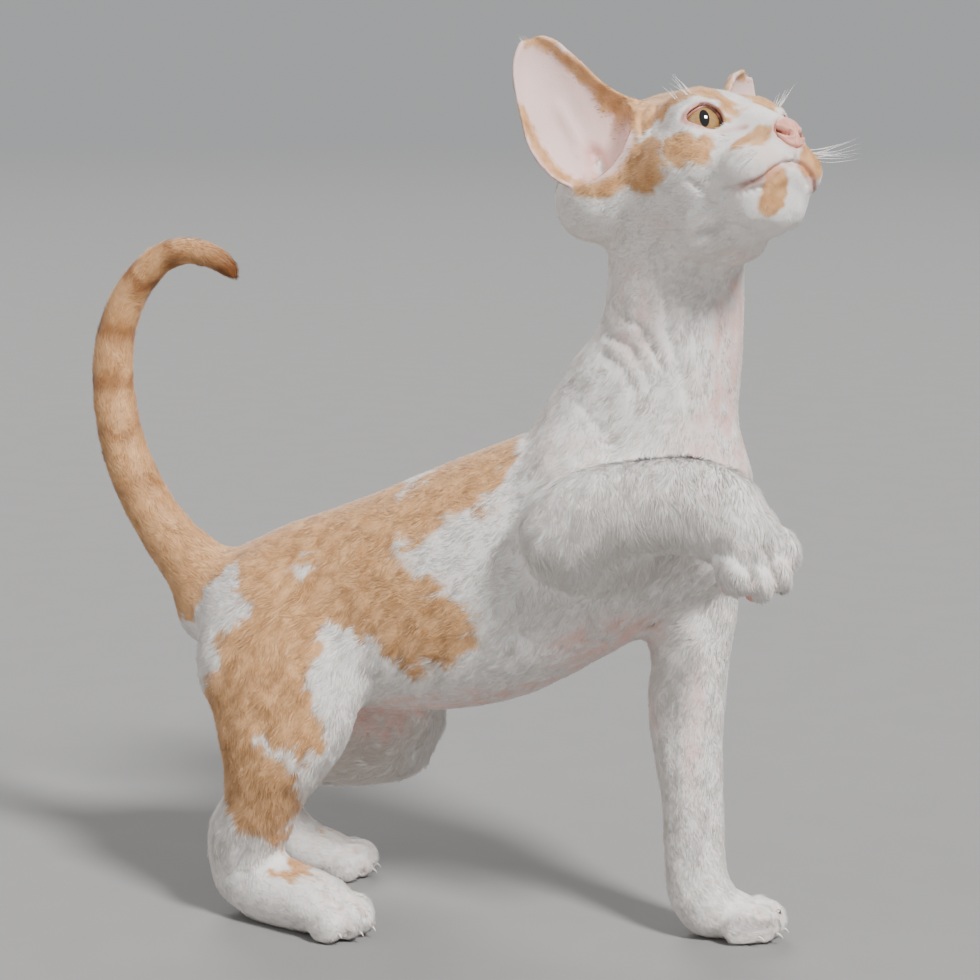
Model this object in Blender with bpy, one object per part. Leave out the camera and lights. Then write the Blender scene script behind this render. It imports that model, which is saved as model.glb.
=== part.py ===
"""A devon rex kitten, life size, standing on three feet with its right forepaw raised.

The kitten faces +X and +Z is up. It stands on z = 0, on the flats under three paws. Its flesh is
laid down as tubes and ovals, fused, smoothed and carved, and then parted into its named pieces.
"""

import math

import bmesh
import bpy
import numpy as np
from mathutils import Matrix, Vector, bvhtree

MM = 0.001

# Flesh, in millimetres: broad masses are melted together first, then the fine ones on top
BROAD_VOXEL, BROAD_ROUNDS, BROAD_SWELL = 2.4, 34, 1.0
FACE_VOXEL, FACE_ROUNDS = 1.5, 34
FINE_VOXEL, FINE_ROUNDS = 1.0, 12
TRIANGLES = 7380
GAP = 0.3
SLIVER = 0.01

# The head's frame: forward, left and up from the point midway between the eyes
EYES_MIDDLE = (100.5, -21.5, 335.5)
HEAD_YAW, HEAD_PITCH, HEAD_ROLL = -36.0, 23.5, -8.5

# Each station of a tube: x, y, z of its middle, its radius up or fore and aft, its radius sideways
TORSO = [
    (-128, 0, 127, 18, 18),
    (-114, 0, 128, 27.5, 27),
    (-94, 0, 128.5, 36.5, 31),
    (-66, 0, 131.5, 43, 34),
    (-38, 0, 136.5, 48.5, 37),
    (-10, 0, 145, 51.5, 38.5),
    (18, 0, 158.5, 50, 38.5),
    (44, 0, 171, 46.5, 36.5),
    (68, 0, 180, 39, 31),
]
NECK = [
    (60, 0, 172, 43, 32),
    (59, 0, 199, 47, 33),
    (63, 0, 222, 38.5, 31),
    (70.5, 0, 244, 30.5, 28),
    (73, -1, 264, 28, 26.5),
    (74, -3, 284, 27, 25.5),
    (77, -6, 302, 27, 26),
]
TAIL = [
    (-112, 0, 133, 18, 17),
    (-127, 0, 137, 17, 16),
    (-140, 0, 147, 14.4, 14),
    (-153, 1, 161, 12.3, 12),
    (-163.5, 2, 177, 11.5, 11.5),
    (-171, 3, 194, 10.9, 10.9),
    (-175.5, 4, 214, 10.3, 10.3),
    (-176.5, 5, 232, 9.7, 9.7),
    (-173, 5, 249, 9.1, 9.1),
    (-164, 4, 265.5, 8.4, 8.4),
    (-151.5, 3, 277, 7.6, 7.6),
    (-137, 1, 280.5, 7.0, 7.0),
    (-124.5, 0, 277, 6.4, 6.4),
    (-118, 0, 271.5, 5.2, 5.2),
]
THIGH_RIGHT = [
    (-90, -22, 134, 34, 15),
    (-88, -27, 112, 39, 19),
    (-85.5, -31, 92, 32.5, 19),
    (-88.5, -33, 76, 27, 18),
    (-92, -34, 62, 19, 16),
    (-95.5, -33, 50, 16, 14.5),
    (-102.5, -31, 38, 16.5, 14),
    (-107, -28, 26, 14.5, 12.5),
]
THIGH_LEFT = [
    (-90, 22, 134, 34, 15),
    (-76, 27, 108, 36, 17),
    (-63, 31, 86, 31, 17),
    (-54, 33, 72, 22.5, 15.5),
]
SHANK_LEFT = [
    (-56, 33, 66, 18.5, 15),
    (-69, 34, 62, 18, 14.5),
    (-86, 34, 59, 17, 13.5),
    (-104, 34, 55, 14.5, 12.5),
    (-117, 34, 50, 13, 11.5),
]
FOOT_RIGHT = [
    (-108, -24, 19, 14.5, 13),
    (-95, -29, 14, 15, 14),
    (-79, -34, 12.5, 14, 14.5),
    (-65, -39, 11.5, 12, 15),
]
FOOT_LEFT = [
    (-119, 34, 48, 13, 11),
    (-118, 34.5, 34, 11.5, 11.5),
    (-110, 35, 19.5, 11, 12.5),
    (-99, 36, 10.6, 11, 13.5),
    (-89, 37, 9.6, 10.5, 13.5),
]
FORELEG_LEFT = [
    (70, 20, 162, 27, 16),
    (76, 17, 144, 22, 17),
    (77.5, 14, 128, 19, 16),
    (78.5, 11, 114, 16.2, 15),
    (77.5, 9, 100, 16.6, 14.2),
    (78, 8, 84, 15.3, 13.4),
    (79.6, 7, 70, 14, 12.8),
    (81.5, 6, 56, 13.2, 12.4),
    (82.5, 5, 36, 12.9, 12.2),
    (84.5, 4, 20, 13.2, 12.6),
    (90, 4, 12.5, 13.5, 13),
]
UPPER_ARM_RIGHT = [
    (72, -20, 178, 25, 16),
    (58, -30, 176, 26, 17),
    (45, -39, 173, 23, 16),
    (37, -44, 172, 19, 15),
]
FOREARM_RIGHT = [
    (37, -45, 174, 20, 16),
    (50, -47, 183, 20, 16),
    (64, -48, 188, 18.5, 15.5),
    (78, -49, 190.5, 18.5, 15),
    (92, -50, 191, 19, 15.5),
    (106, -51, 186.5, 19, 15.5),
]

# Each paw: the middle of its ball on the sole, the ways its toes and its back face, and its size
PAWS = {
    "hind_paw_right": ((-59, -40.5, 0), (0.95, -0.32, 0), (0, 0, 1), 1.02),
    "hind_paw_left": ((-84.5, 37.5, -0.5), (0.99, 0.1, 0), (0, 0, 1), 0.96),
    "forepaw_left": ((105, 5, -0.5), (1, -0.1, 0), (0, 0, 1), 1.02),
    "forepaw_right": ((113, -46, 171), (0.45, 0, -0.9), (0.55, -0.8, 0.2), 1.14),
}
TOES = [(2.0, -10.8, 7.6), (7.5, -3.9, 8.9), (7.5, 3.9, 8.9), (2.0, 10.8, 7.6)]
TOE_RADII = (9.2, 5.4, 9.0)

# Ovals of muscle: middle and radii, on both sides unless y is 0
BODY_OVALS = [
    ((42, 24, 190), (27, 12, 30)),
    ((90, 0, 178), (17, 24, 31)),
    ((-97, 15, 128), (25, 18, 29)),
]
HEAD_OVALS = [
    ((-37, 0, 0), (33, 28, 27)),
    ((-16, 0, 4), (22, 22, 16)),
    ((-14, 19, -14), (23, 14, 16)),
    ((-28, 17, -16), (22, 15, 17)),
    ((-38, 23, 4), (17, 13, 17)),
    ((-54, 28.5, -12), (21, 15.5, 18)),
    ((-15, 9, -41), (15, 11, 9)),
]
FACE_OVALS = [
    ((-8, 13, 8), (15, 13, 9)),
    ((-3, 15.5, 0), (14, 13.5, 13)),
    ((-6, 20, -10), (14, 10, 12)),
    ((16, 10.5, -26), (15, 12, 11)),
    ((11, 5, -37), (14, 12, 12.5)),
    ((-3, 0, -39), (16, 13, 10)),
    ((26, 0, -16), (8, 9, 9)),
]
MUZZLE = [
    (-12, 0, -13, 19, 22),
    (2, 0, -18, 18, 19),
    (13, 0, -22, 17, 16),
    (20, 0, -24, 15, 13),
]
BRIDGE = [
    (-12, 0, 4, 9, 13),
    (4, 0, 0, 9, 11),
    (16, 0, -7, 8, 9.5),
    (25, 0, -13, 7, 8),
]
JAW = [
    (14, 0, -38, 9, 10),
    (-6, 9, -32, 10, 11),
    (-26, 15, -22, 11, 12),
]

# The eyes: middle and radius, and the opening of the lids as the way to each point from the middle
EYE = (-3.0, 15.5, -1.3)
EYE_RADIUS = 10.0
LID_OPENING = [
    (66, 0),
    (44, 17),
    (18, 26),
    (-3, 15),
    (-20, -13),
    (-7, -25),
    (14, -30),
    (40, -19),
]

# Each ear's rim, root to tip: front edge, rear edge and depth of the cup behind them. The left ear
# is drawn as if on the right, and stands open wider, as its front edge is turned in to the crown.
EAR_ROWS = {
    "right": [
        ((-25, -16, 10), (-41, -31, -15), 14),
        ((-27, -20, 18), (-45, -38.5, -13), 13),
        ((-31, -26, 21.5), (-50.5, -50, -7.5), 12),
        ((-35, -34, 28), (-55, -57, 6), 10),
        ((-38, -40, 36), (-54.5, -59.5, 18), 8),
        ((-40.4, -44.8, 41.4), (-54.3, -60.8, 30), 6.5),
        ((-42.3, -48, 45.8), (-53.3, -60.8, 39), 5),
        ((-44.2, -51, 48.3), (-51.6, -59.6, 45), 3),
        ((-47, -53.5, 50.2), (-50, -57.5, 49.4), 1.5),
    ],
    "left": [
        ((-25, -16, 10), (-41, -31, -15), 14),
        ((-27, -19.5, 18), (-45, -38.5, -13), 13),
        ((-31, -24.5, 21.5), (-50.5, -50, -7.5), 12),
        ((-35, -31.5, 28), (-55, -58, 6), 10),
        ((-38, -37, 36), (-55, -61, 18), 8),
        ((-41, -41.5, 41), (-55, -63, 30), 6.5),
        ((-43, -45, 45.5), (-53.5, -63, 41), 5),
        ((-45, -50, 48.5), (-52, -61, 46.5), 3),
        ((-47, -53.5, 50.5), (-50, -59, 50), 1.5),
    ],
}
EAR_BACK = (-0.81, 0.57, 0.10)
EAR_WALL = 1.9
EAR_LINES = 12
EAR_BOWL = (22.0, 18.0, 15.0)
EAR_BOWL_LIFT = 12.0

# The mouth's right half and the cleft of the lip, as points near the skin
MOUTH = [(29, 0, -28), (26, -4, -28.5), (20, -9, -31), (12, -14, -33), (4, -17, -33.5)]
LIP_CLEFT = [(33, 0, -21), (32, 0, -24), (30, 0, -27)]
NOSTRIL = ((32, 3.6, -16.5), (3.2, 1.5, 1.3))
NOSE = ((30.5, 0, -15), (6.5, 6.4, 6.4))

# Where flesh is parted from the torso: an oval round each limb
LIMB_OVALS = {
    "hind_leg_right": ((-86, -46, 62), (64, 38, 95)),
    "hind_leg_left": ((-86, 46, 62), (64, 38, 95)),
    "foreleg_left": ((84, 14, 58), (52, 30, 95)),
    "foreleg_right": ((72, -62, 180), (78, 34, 45)),
}

# Straight cuts: the piece cut, the nodes behind and ahead, a point on the cut, the way it faces
CUTS = [
    ("torso", "torso", "tail_base", (-131, 0, 143), (-0.75, 0, 0.66)),
    ("tail_base", "tail_base", "tail_middle", (-174, 4, 203), (-0.25, 0, 0.97)),
    ("tail_middle", "tail_middle", "tail_end", (-170, 4, 257), (0.5, 0, 0.87)),
    ("torso", "torso", "neck", (56, 0, 216), (0.05, 0, 1)),
    ("neck", "neck", "head", (74, -4, 272), (0.28, 0, 0.96)),
    ("hind_leg_right", "shank_right", "thigh_right", (-92, -34, 70), (0.1, 0, 1)),
    ("shank_right", "foot_right", "shank_right", (-104, -29, 34), (-0.3, 0, 0.95)),
    ("hind_leg_left", "shank_left", "thigh_left", (-60, 33, 76), (-0.5, 0, 0.87)),
    ("shank_left", "foot_left", "shank_left", (-117, 34, 36), (0.1, 0, 0.99)),
    ("foreleg_left", "forearm_left", "upper_arm_left", (74, 12, 112), (0.1, 0, 1)),
    ("forearm_left", "forepaw_left", "forearm_left", (86, 4, 24), (0.1, 0, 1)),
    ("foreleg_right", "upper_arm_right", "forearm_right", (60, -48, 186), (1, 0, 0.15)),
    ("forearm_right", "forearm_right", "forepaw_right", (98, -50, 185), (0.8, 0, -0.6)),
]

CREAM = (0.86, 0.76, 0.68)
WHITE = (0.88, 0.84, 0.80)
GINGER = (0.78, 0.52, 0.32)
PINK = (0.80, 0.45, 0.38)
AMBER = (0.45, 0.28, 0.10)
COLOURS = {
    "head": CREAM,
    "nose": PINK,
    "ear_right": (0.86, 0.68, 0.60),
    "ear_left": (0.86, 0.68, 0.60),
    "eye_right": AMBER,
    "eye_left": AMBER,
    "neck": WHITE,
    "torso": GINGER,
    "tail_base": GINGER,
    "tail_middle": GINGER,
    "tail_end": GINGER,
    "thigh_right": GINGER,
    "thigh_left": GINGER,
    "shank_right": GINGER,
    "shank_left": GINGER,
}


def head_matrix():
    """The head's frame in the world, in millimetres."""
    turn = Matrix.Rotation(math.radians(HEAD_YAW), 4, "Z")
    turn @= Matrix.Rotation(math.radians(-HEAD_PITCH), 4, "Y")
    turn @= Matrix.Rotation(math.radians(HEAD_ROLL), 4, "X")
    return Matrix.Translation(EYES_MIDDLE) @ turn


def between(a, b, c, d, t):
    """The place a share t of the way from b to c, on the curve that runs on through a and d."""
    bend = 2 * a - 5 * b + 4 * c - d
    twist = 3 * b - a - 3 * c + d
    return 0.5 * (2 * b + (c - a) * t + bend * t**2 + twist * t**3)


def smooth_rows(stations, step=4.0):
    """Rows about one step apart on the curve through the stations (Catmull-Rom)."""
    knots = np.array(stations, float)
    ends = [2 * knots[0] - knots[1], *knots, 2 * knots[-1] - knots[-2]]
    rows = []
    for a, b, c, d in zip(ends, ends[1:], ends[2:], ends[3:]):
        spans = max(2, round(np.linalg.norm(c[:3] - b[:3]) / step))
        for t in np.arange(spans) / spans:
            rows.append(between(a, b, c, d, t))
    return np.array([*rows, knots[-1]])


def domed(rows):
    """The rows with a round dome of smaller rows at both ends."""
    domes = []
    for end, inner in ((rows[0], rows[1]), (rows[-1], rows[-2])):
        out = (end[:3] - inner[:3]) / np.linalg.norm(end[:3] - inner[:3])
        reach = min(end[3], end[4])
        dome = []
        for angle in np.radians((30, 55, 75)):
            row = end.copy()
            row[:3] += out * reach * math.sin(angle)
            row[3:] *= math.cos(angle)
            dome.append(row)
        domes.append(dome)
    return np.array([*domes[0][::-1], *rows, *domes[1]])


def add_tube(flesh, stations, frame=None, around=24):
    """A closed tube of flesh with oval rings square to its path."""
    rows = domed(smooth_rows(stations))
    paths = np.gradient(rows[:, :3], axis=0)
    rings = []
    for row, path in zip(rows, paths):
        path = Vector(path).normalized()
        sideways = (Vector((0, 1, 0)) - path * path.y).normalized()
        upward = path.cross(sideways)
        ring = []
        for turn in np.arange(around) * math.tau / around:
            point = Vector(row[:3])
            point += upward * (row[3] * math.cos(turn))
            point += sideways * (row[4] * math.sin(turn))
            ring.append(flesh.verts.new(frame @ point if frame else point))
        rings.append(ring)
    for low, high in zip(rings, rings[1:]):
        for i in range(around):
            j = (i + 1) % around
            flesh.faces.new((low[i], low[j], high[j], high[i]))
    flesh.faces.new(rings[0][::-1])
    flesh.faces.new(rings[-1])


def add_oval(flesh, middle, radii, frame=None):
    place = Matrix.Translation(middle) @ Matrix.Diagonal((*radii, 1))
    if frame:
        place = frame @ place
    bmesh.ops.create_uvsphere(flesh, u_segments=20, v_segments=14, radius=1, matrix=place)


def add_both(flesh, middle, radii, frame=None):
    """An oval, and its twin on the other side where it isn't on the middle line."""
    add_oval(flesh, middle, radii, frame)
    if middle[1]:
        add_oval(flesh, (middle[0], -middle[1], middle[2]), radii, frame)


def paw_frame(ball, toes, back, size):
    forward = Vector(toes).normalized()
    left = Vector(back).cross(forward).normalized()
    frame = Matrix((forward, left, forward.cross(left))).transposed().to_4x4()
    return Matrix.Translation(ball) @ frame @ Matrix.Scale(size, 4)


def add_paw(flesh, frame):
    """The ball of a paw with its four toes, whose clefts stay open."""
    add_oval(flesh, (-8, 0, 10), (15, 12.5, 10.5), frame)
    for forward, left, up in TOES:
        add_oval(flesh, (forward, left, up), TOE_RADII, frame)


def lid_ways(count=16):
    """The ways from the right eye's middle to points round the opening of its lids."""
    loop = LID_OPENING[-1:] + LID_OPENING + LID_OPENING[:2]
    ways = []
    for i in range(count):
        at = i * len(LID_OPENING) / count
        first, t = int(at), at % 1
        a, b, c, d = (np.array(angles, float) for angles in loop[first : first + 4])
        yaw, pitch = np.radians(between(a, b, c, d, t))
        level = math.cos(pitch)
        ways.append(Vector((math.cos(yaw) * level, -math.sin(yaw) * level, math.sin(pitch))))
    return ways


def eye_middle(side):
    return Vector((EYE[0], side * EYE[1], EYE[2]))


def lay_down_masses():
    """The broad tubes and ovals, as one mesh of closed shells that run into each other."""
    flesh = bmesh.new()
    for stations in (
        TORSO,
        NECK,
        TAIL,
        THIGH_RIGHT,
        THIGH_LEFT,
        SHANK_LEFT,
        FOOT_RIGHT,
        FOOT_LEFT,
        FORELEG_LEFT,
        UPPER_ARM_RIGHT,
        FOREARM_RIGHT,
    ):
        add_tube(flesh, stations)
    for middle, radii in BODY_OVALS:
        add_both(flesh, middle, radii)
    head = head_matrix()
    for middle, radii in HEAD_OVALS:
        add_both(flesh, middle, radii, head)
    for stations in (MUZZLE, JAW, [(x, -y, *rest) for x, y, *rest in JAW]):
        add_tube(flesh, stations, head)
    return closed_shells("flesh", flesh)


def lay_down_face():
    """The smaller forms of the face."""
    flesh = bmesh.new()
    head = head_matrix()
    for middle, radii in FACE_OVALS:
        add_both(flesh, middle, radii, head)
    add_tube(flesh, BRIDGE, head)
    return closed_shells("face", flesh)


def lay_down_toes():
    flesh = bmesh.new()
    for paw in PAWS.values():
        add_paw(flesh, paw_frame(*paw))
    return closed_shells("toes", flesh)


def closed_shells(name, shape):
    bmesh.ops.recalc_face_normals(shape, faces=shape.faces)
    return new_object(name, shape)


def new_object(name, shape):
    """An object in metres from a shape drawn in millimetres."""
    bmesh.ops.scale(shape, vec=(MM, MM, MM), verts=shape.verts)
    mesh = bpy.data.meshes.new(name)
    shape.to_mesh(mesh)
    shape.free()
    obj = bpy.data.objects.new(name, mesh)
    bpy.context.scene.collection.objects.link(obj)
    return obj


def copy_of(obj, name):
    twin = bpy.data.objects.new(name, obj.data.copy())
    bpy.context.scene.collection.objects.link(twin)
    return twin


def apply_modifiers(obj):
    """Puts the modified mesh in the modifiers' place."""
    graph = bpy.context.evaluated_depsgraph_get()
    mesh = bpy.data.meshes.new_from_object(obj.evaluated_get(graph))
    obj.modifiers.clear()
    obj.data = mesh


def carve(obj, cutter, operation="DIFFERENCE"):
    cut = obj.modifiers.new("carve", "BOOLEAN")
    cut.operation = operation
    cut.solver = "EXACT"
    cut.object = cutter
    apply_modifiers(obj)
    shape = bmesh.new()
    shape.from_mesh(obj.data)
    tidy(shape)
    shape.to_mesh(obj.data)
    shape.free()


def tidy(shape):
    """Triangles only, with slivers closed up and pinholes filled."""
    for _ in range(2):
        bmesh.ops.triangulate(shape, faces=shape.faces)
        bmesh.ops.dissolve_degenerate(shape, edges=shape.edges, dist=SLIVER * MM)
        bmesh.ops.remove_doubles(shape, verts=shape.verts, dist=SLIVER * MM)
        rims = [edge for edge in shape.edges if edge.is_boundary]
        bmesh.ops.holes_fill(shape, edges=rims, sides=0)
    loose = [vertex for vertex in shape.verts if not vertex.link_faces]
    bmesh.ops.delete(shape, geom=loose, context="VERTS")
    bmesh.ops.triangulate(shape, faces=shape.faces)
    bmesh.ops.recalc_face_normals(shape, faces=shape.faces)


def remove(*objects):
    for obj in objects:
        bpy.data.objects.remove(obj)


def points_of(obj):
    """The object's points in millimetres."""
    points = np.empty(len(obj.data.vertices) * 3)
    obj.data.vertices.foreach_get("co", points)
    return points.reshape(-1, 3) / MM


def group_by(obj, name, weights):
    """A vertex group holding the weights in steps of a tenth."""
    group = obj.vertex_groups.new(name=name)
    steps = np.round(weights, 1)
    for level in np.unique(steps):
        group.add(np.flatnonzero(steps == level).tolist(), float(level), "REPLACE")
    return group


def nearness(points, reaches):
    """One at the named places, fading to nought at their reach."""
    near = np.zeros(len(points))
    for middle, reach in reaches:
        away = np.linalg.norm(points - np.array(middle), axis=1) / reach
        near = np.maximum(near, np.clip((1.2 - away) / 0.5, 0, 1))
    return near


def melt(body, voxel):
    """Makes the shells one closed skin."""
    remesh = body.modifiers.new("melt", "REMESH")
    remesh.mode = "VOXEL"
    remesh.voxel_size = voxel * MM
    apply_modifiers(body)


def soften(body, rounds, weights):
    group_by(body, "soft", weights)
    smooth = body.modifiers.new("soften", "SMOOTH")
    smooth.factor = 0.5
    smooth.iterations = rounds
    smooth.vertex_group = "soft"
    apply_modifiers(body)
    body.vertex_groups.clear()


def swell(body, by, weights):
    """Moves the skin out, which fills the creases between the masses."""
    group_by(body, "swell", weights)
    push = body.modifiers.new("swell", "DISPLACE")
    push.strength = by * MM
    push.mid_level = 0
    push.vertex_group = "swell"
    apply_modifiers(body)
    body.vertex_groups.clear()


def join(body, other):
    """Adds the other mesh's shells to the body's."""
    shape = bmesh.new()
    shape.from_mesh(body.data)
    shape.from_mesh(other.data)
    shape.to_mesh(body.data)
    shape.free()
    remove(other)


def stand_on_floor(body):
    """Flattens the underside of the three standing paws, at one level."""
    for vertex in body.data.vertices:
        vertex.co.z = max(vertex.co.z, 0)


def make_body():
    """One closed skin: broad masses melted and softened, then fine forms, then fewer triangles."""
    body = lay_down_masses()
    melt(body, BROAD_VOXEL)
    points = points_of(body)
    tail = [(row[:3], 24) for row in TAIL[3:]]
    limbs = FORELEG_LEFT[2:] + FOREARM_RIGHT[1:] + THIGH_RIGHT[4:] + FOOT_RIGHT
    legs = [(row[:3], 24) for row in limbs]
    weights = 1 - 0.6 * nearness(points, legs)
    weights *= 1 - 0.9 * nearness(points, tail)
    soften(body, BROAD_ROUNDS, weights)
    swell(body, BROAD_SWELL, 1 - nearness(points_of(body), tail))
    join(body, lay_down_face())
    melt(body, FACE_VOXEL)
    face = head_matrix() @ Vector((4, 0, -16))
    soften(body, FACE_ROUNDS, nearness(points_of(body), [(face, 46)]))
    join(body, lay_down_toes())
    melt(body, FINE_VOXEL)
    soften(body, FINE_ROUNDS, np.ones(len(body.data.vertices)))
    stand_on_floor(body)
    thin = body.modifiers.new("thin", "DECIMATE")
    thin.ratio = TRIANGLES / (2 * len(body.data.polygons))
    thin.use_collapse_triangulate = True
    apply_modifiers(body)
    return body


def limb_oval(middle, radii, grow):
    shape = bmesh.new()
    place = Matrix.Translation(middle) @ Matrix.Diagonal((*(r + grow for r in radii), 1))
    bmesh.ops.create_uvsphere(shape, u_segments=22, v_segments=16, radius=1, matrix=place)
    return new_object("oval", shape)


def half_space(point, facing, shift):
    """A block that fills all that lies ahead of the cut, moved ahead by the shift."""
    ahead = Vector(facing).normalized()
    turn = ahead.to_track_quat("Z", "Y").to_matrix().to_4x4()
    place = Matrix.Translation(Vector(point) + ahead * (shift + 300)) @ turn
    shape = bmesh.new()
    bmesh.ops.create_cube(shape, size=600, matrix=place)
    return new_object("block", shape)


def keep_largest(obj):
    """Drops all but the largest closed surface."""
    shape = bmesh.new()
    shape.from_mesh(obj.data)
    tidy(shape)
    left = set(shape.verts)
    islands = []
    while left:
        todo = [left.pop()]
        island = list(todo)
        while todo:
            for edge in todo.pop().link_edges:
                for vertex in edge.verts:
                    if vertex in left:
                        left.remove(vertex)
                        todo.append(vertex)
                        island.append(vertex)
        islands.append(island)
    islands.sort(key=len)
    bmesh.ops.delete(shape, geom=[v for island in islands[:-1] for v in island], context="VERTS")
    bmesh.ops.triangulate(shape, faces=shape.faces)
    shape.to_mesh(obj.data)
    shape.free()


def part_off(pieces, whole, limb, small, large):
    """Parts a limb off: it keeps what lies in the small shape, the whole what's outside the large."""
    body = pieces.pop(whole)
    off = copy_of(body, limb)
    carve(off, small, "INTERSECT")
    carve(body, large)
    remove(small, large)
    return body, off


def part_into_pieces(body):
    pieces = {"torso": body}
    for name, (middle, radii) in LIMB_OVALS.items():
        small = limb_oval(middle, radii, 0)
        large = limb_oval(middle, radii, GAP)
        body, limb = part_off(pieces, "torso", name, small, large)
        pieces["torso"] = body
        pieces[name] = limb
    for whole, behind, ahead, point, facing in CUTS:
        ahead_block = half_space(point, facing, GAP / 2)
        behind_block = half_space(point, facing, -GAP / 2)
        body, off = part_off(pieces, whole, ahead, ahead_block, behind_block)
        pieces[behind] = body
        pieces[ahead] = off
    for name, piece in pieces.items():
        keep_largest(piece)
        piece.name = name
    return pieces


def head_oval(middle, radii, grow=0.0, around=16):
    place = head_matrix() @ Matrix.Translation(middle)
    place @= Matrix.Diagonal((*(r + grow for r in radii), 1))
    rows = around // 3 * 2
    shape = bmesh.new()
    bmesh.ops.create_uvsphere(shape, u_segments=around, v_segments=rows, radius=1, matrix=place)
    return new_object("oval", shape)


def lid_cutter(side):
    """A plug from inside the eye out through the opening of the lids, along the eye's axis."""
    shape = bmesh.new()
    axis = Vector((0.88, side * 0.44, 0.05)).normalized()
    rings = []
    for reach, ahead in ((7, 0), (10.6, 0), (10.9, 14)):
        ring = []
        for way in lid_ways():
            way = Vector((way.x, -side * way.y, way.z))
            point = eye_middle(side) + way * reach + axis * ahead
            ring.append(shape.verts.new(head_matrix() @ point))
        rings.append(ring)
    for low, high in zip(rings, rings[1:]):
        for i in range(len(low)):
            j = (i + 1) % len(low)
            shape.faces.new((low[i], low[j], high[j], high[i]))
    for ring in (rings[0][::-1], rings[-1]):
        shape.faces.new(ring)
    bmesh.ops.triangulate(shape, faces=shape.faces)
    bmesh.ops.recalc_face_normals(shape, faces=shape.faces)
    return new_object("plug", shape)


def groove_cutter(head, path, across, deep):
    """A thin tube laid on the head's skin along the path."""
    place = head_matrix()
    surface = bvhtree.BVHTree.FromObject(head, bpy.context.evaluated_depsgraph_get())
    line = []
    for row in smooth_rows(path, 2.0):
        spot = surface.find_nearest(place @ Vector(row) * MM)[0] / MM
        line.append(spot)
    shape = bmesh.new()
    rings = []
    for i, spot in enumerate(line):
        along = (line[min(i + 1, len(line) - 1)] - line[max(i - 1, 0)]).normalized()
        outward = surface.find_nearest(spot * MM)[1]
        outward = (outward - along * outward.dot(along)).normalized()
        beside = along.cross(outward)
        ring = []
        for turn in np.arange(6) * math.tau / 6:
            offset = outward * (deep * math.cos(turn)) + beside * (across * math.sin(turn))
            ring.append(shape.verts.new(spot + offset))
        rings.append(ring)
    for low, high in zip(rings, rings[1:]):
        for i in range(6):
            j = (i + 1) % 6
            shape.faces.new((low[i], low[j], high[j], high[i]))
    shape.faces.new(rings[0][::-1])
    shape.faces.new(rings[-1])
    bmesh.ops.triangulate(shape, faces=shape.faces)
    bmesh.ops.recalc_face_normals(shape, faces=shape.faces)
    return new_object("groove", shape)


def ear_rows(word):
    """The rim's rows, closer together, as (front edge, rear edge, depth)."""
    rows = smooth_rows([(*front, *rear, depth) for front, rear, depth in EAR_ROWS[word]], 7.0)
    return [(Vector(row[:3]), Vector(row[3:6]), row[6]) for row in rows]


def ear_sheet(side, word):
    """One ear: a cupped sheet whose two faces share their lines, and whose rim closes it."""
    place = head_matrix() @ Matrix.Diagonal((1, side * -1, 1, 1))
    back = Vector(EAR_BACK).normalized()
    shape = bmesh.new()
    faces = []
    for layer in (0, EAR_WALL):
        rows = []
        for front, rear, depth in ear_rows(word):
            middle = (front + rear) / 2
            beside = (rear - front) / 2
            row = []
            for turn in np.radians(np.linspace(-84, 84, EAR_LINES)):
                out = back * math.cos(turn) + beside.normalized() * (0.6 * math.sin(turn))
                point = middle + beside * math.sin(turn) + back * (depth * math.cos(turn))
                row.append(shape.verts.new(place @ (point + out.normalized() * layer)))
            rows.append(row)
        faces.append(rows)
    inner, outer = faces
    last = len(inner) - 1
    for i in range(last):
        for j in range(EAR_LINES - 1):
            k = j + 1
            shape.faces.new((inner[i][j], inner[i][k], inner[i + 1][k], inner[i + 1][j]))
            shape.faces.new((outer[i][j], outer[i + 1][j], outer[i + 1][k], outer[i][k]))
        for j in (0, EAR_LINES - 1):
            shape.faces.new((inner[i][j], inner[i + 1][j], outer[i + 1][j], outer[i][j]))
    for i in (0, last):
        for j in range(EAR_LINES - 1):
            shape.faces.new((inner[i][j], outer[i][j], outer[i][j + 1], inner[i][j + 1]))
    bmesh.ops.triangulate(shape, faces=shape.faces)
    bmesh.ops.recalc_face_normals(shape, faces=shape.faces)
    return new_object("ear", shape)


def ear_bowl(side):
    """The hollow of the ear, which runs down into the head."""
    front, rear = (Vector(edge) for edge in EAR_ROWS["right"][1][:2])
    back = Vector(EAR_BACK).normalized()
    across = (rear - front).normalized()
    across = (across - back * across.dot(back)).normalized()
    turn = Matrix((across, back, across.cross(back))).transposed().to_4x4()
    mirror = Matrix.Diagonal((1, side * -1, 1, 1))
    middle = (front + rear) / 2 - back * 4 + across * 3 + back.cross(across) * EAR_BOWL_LIFT
    place = head_matrix() @ mirror @ Matrix.Translation(middle) @ turn
    place @= Matrix.Diagonal((*EAR_BOWL, 1))
    shape = bmesh.new()
    bmesh.ops.create_uvsphere(shape, u_segments=16, v_segments=10, radius=1, matrix=place)
    bmesh.ops.recalc_face_normals(shape, faces=shape.faces)
    return new_object("bowl", shape)


def swollen(obj, by):
    """A copy with its surface moved out."""
    twin = copy_of(obj, "swollen")
    swell = twin.modifiers.new("swell", "DISPLACE")
    swell.strength = by * MM
    swell.mid_level = 0
    apply_modifiers(twin)
    return twin


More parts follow.
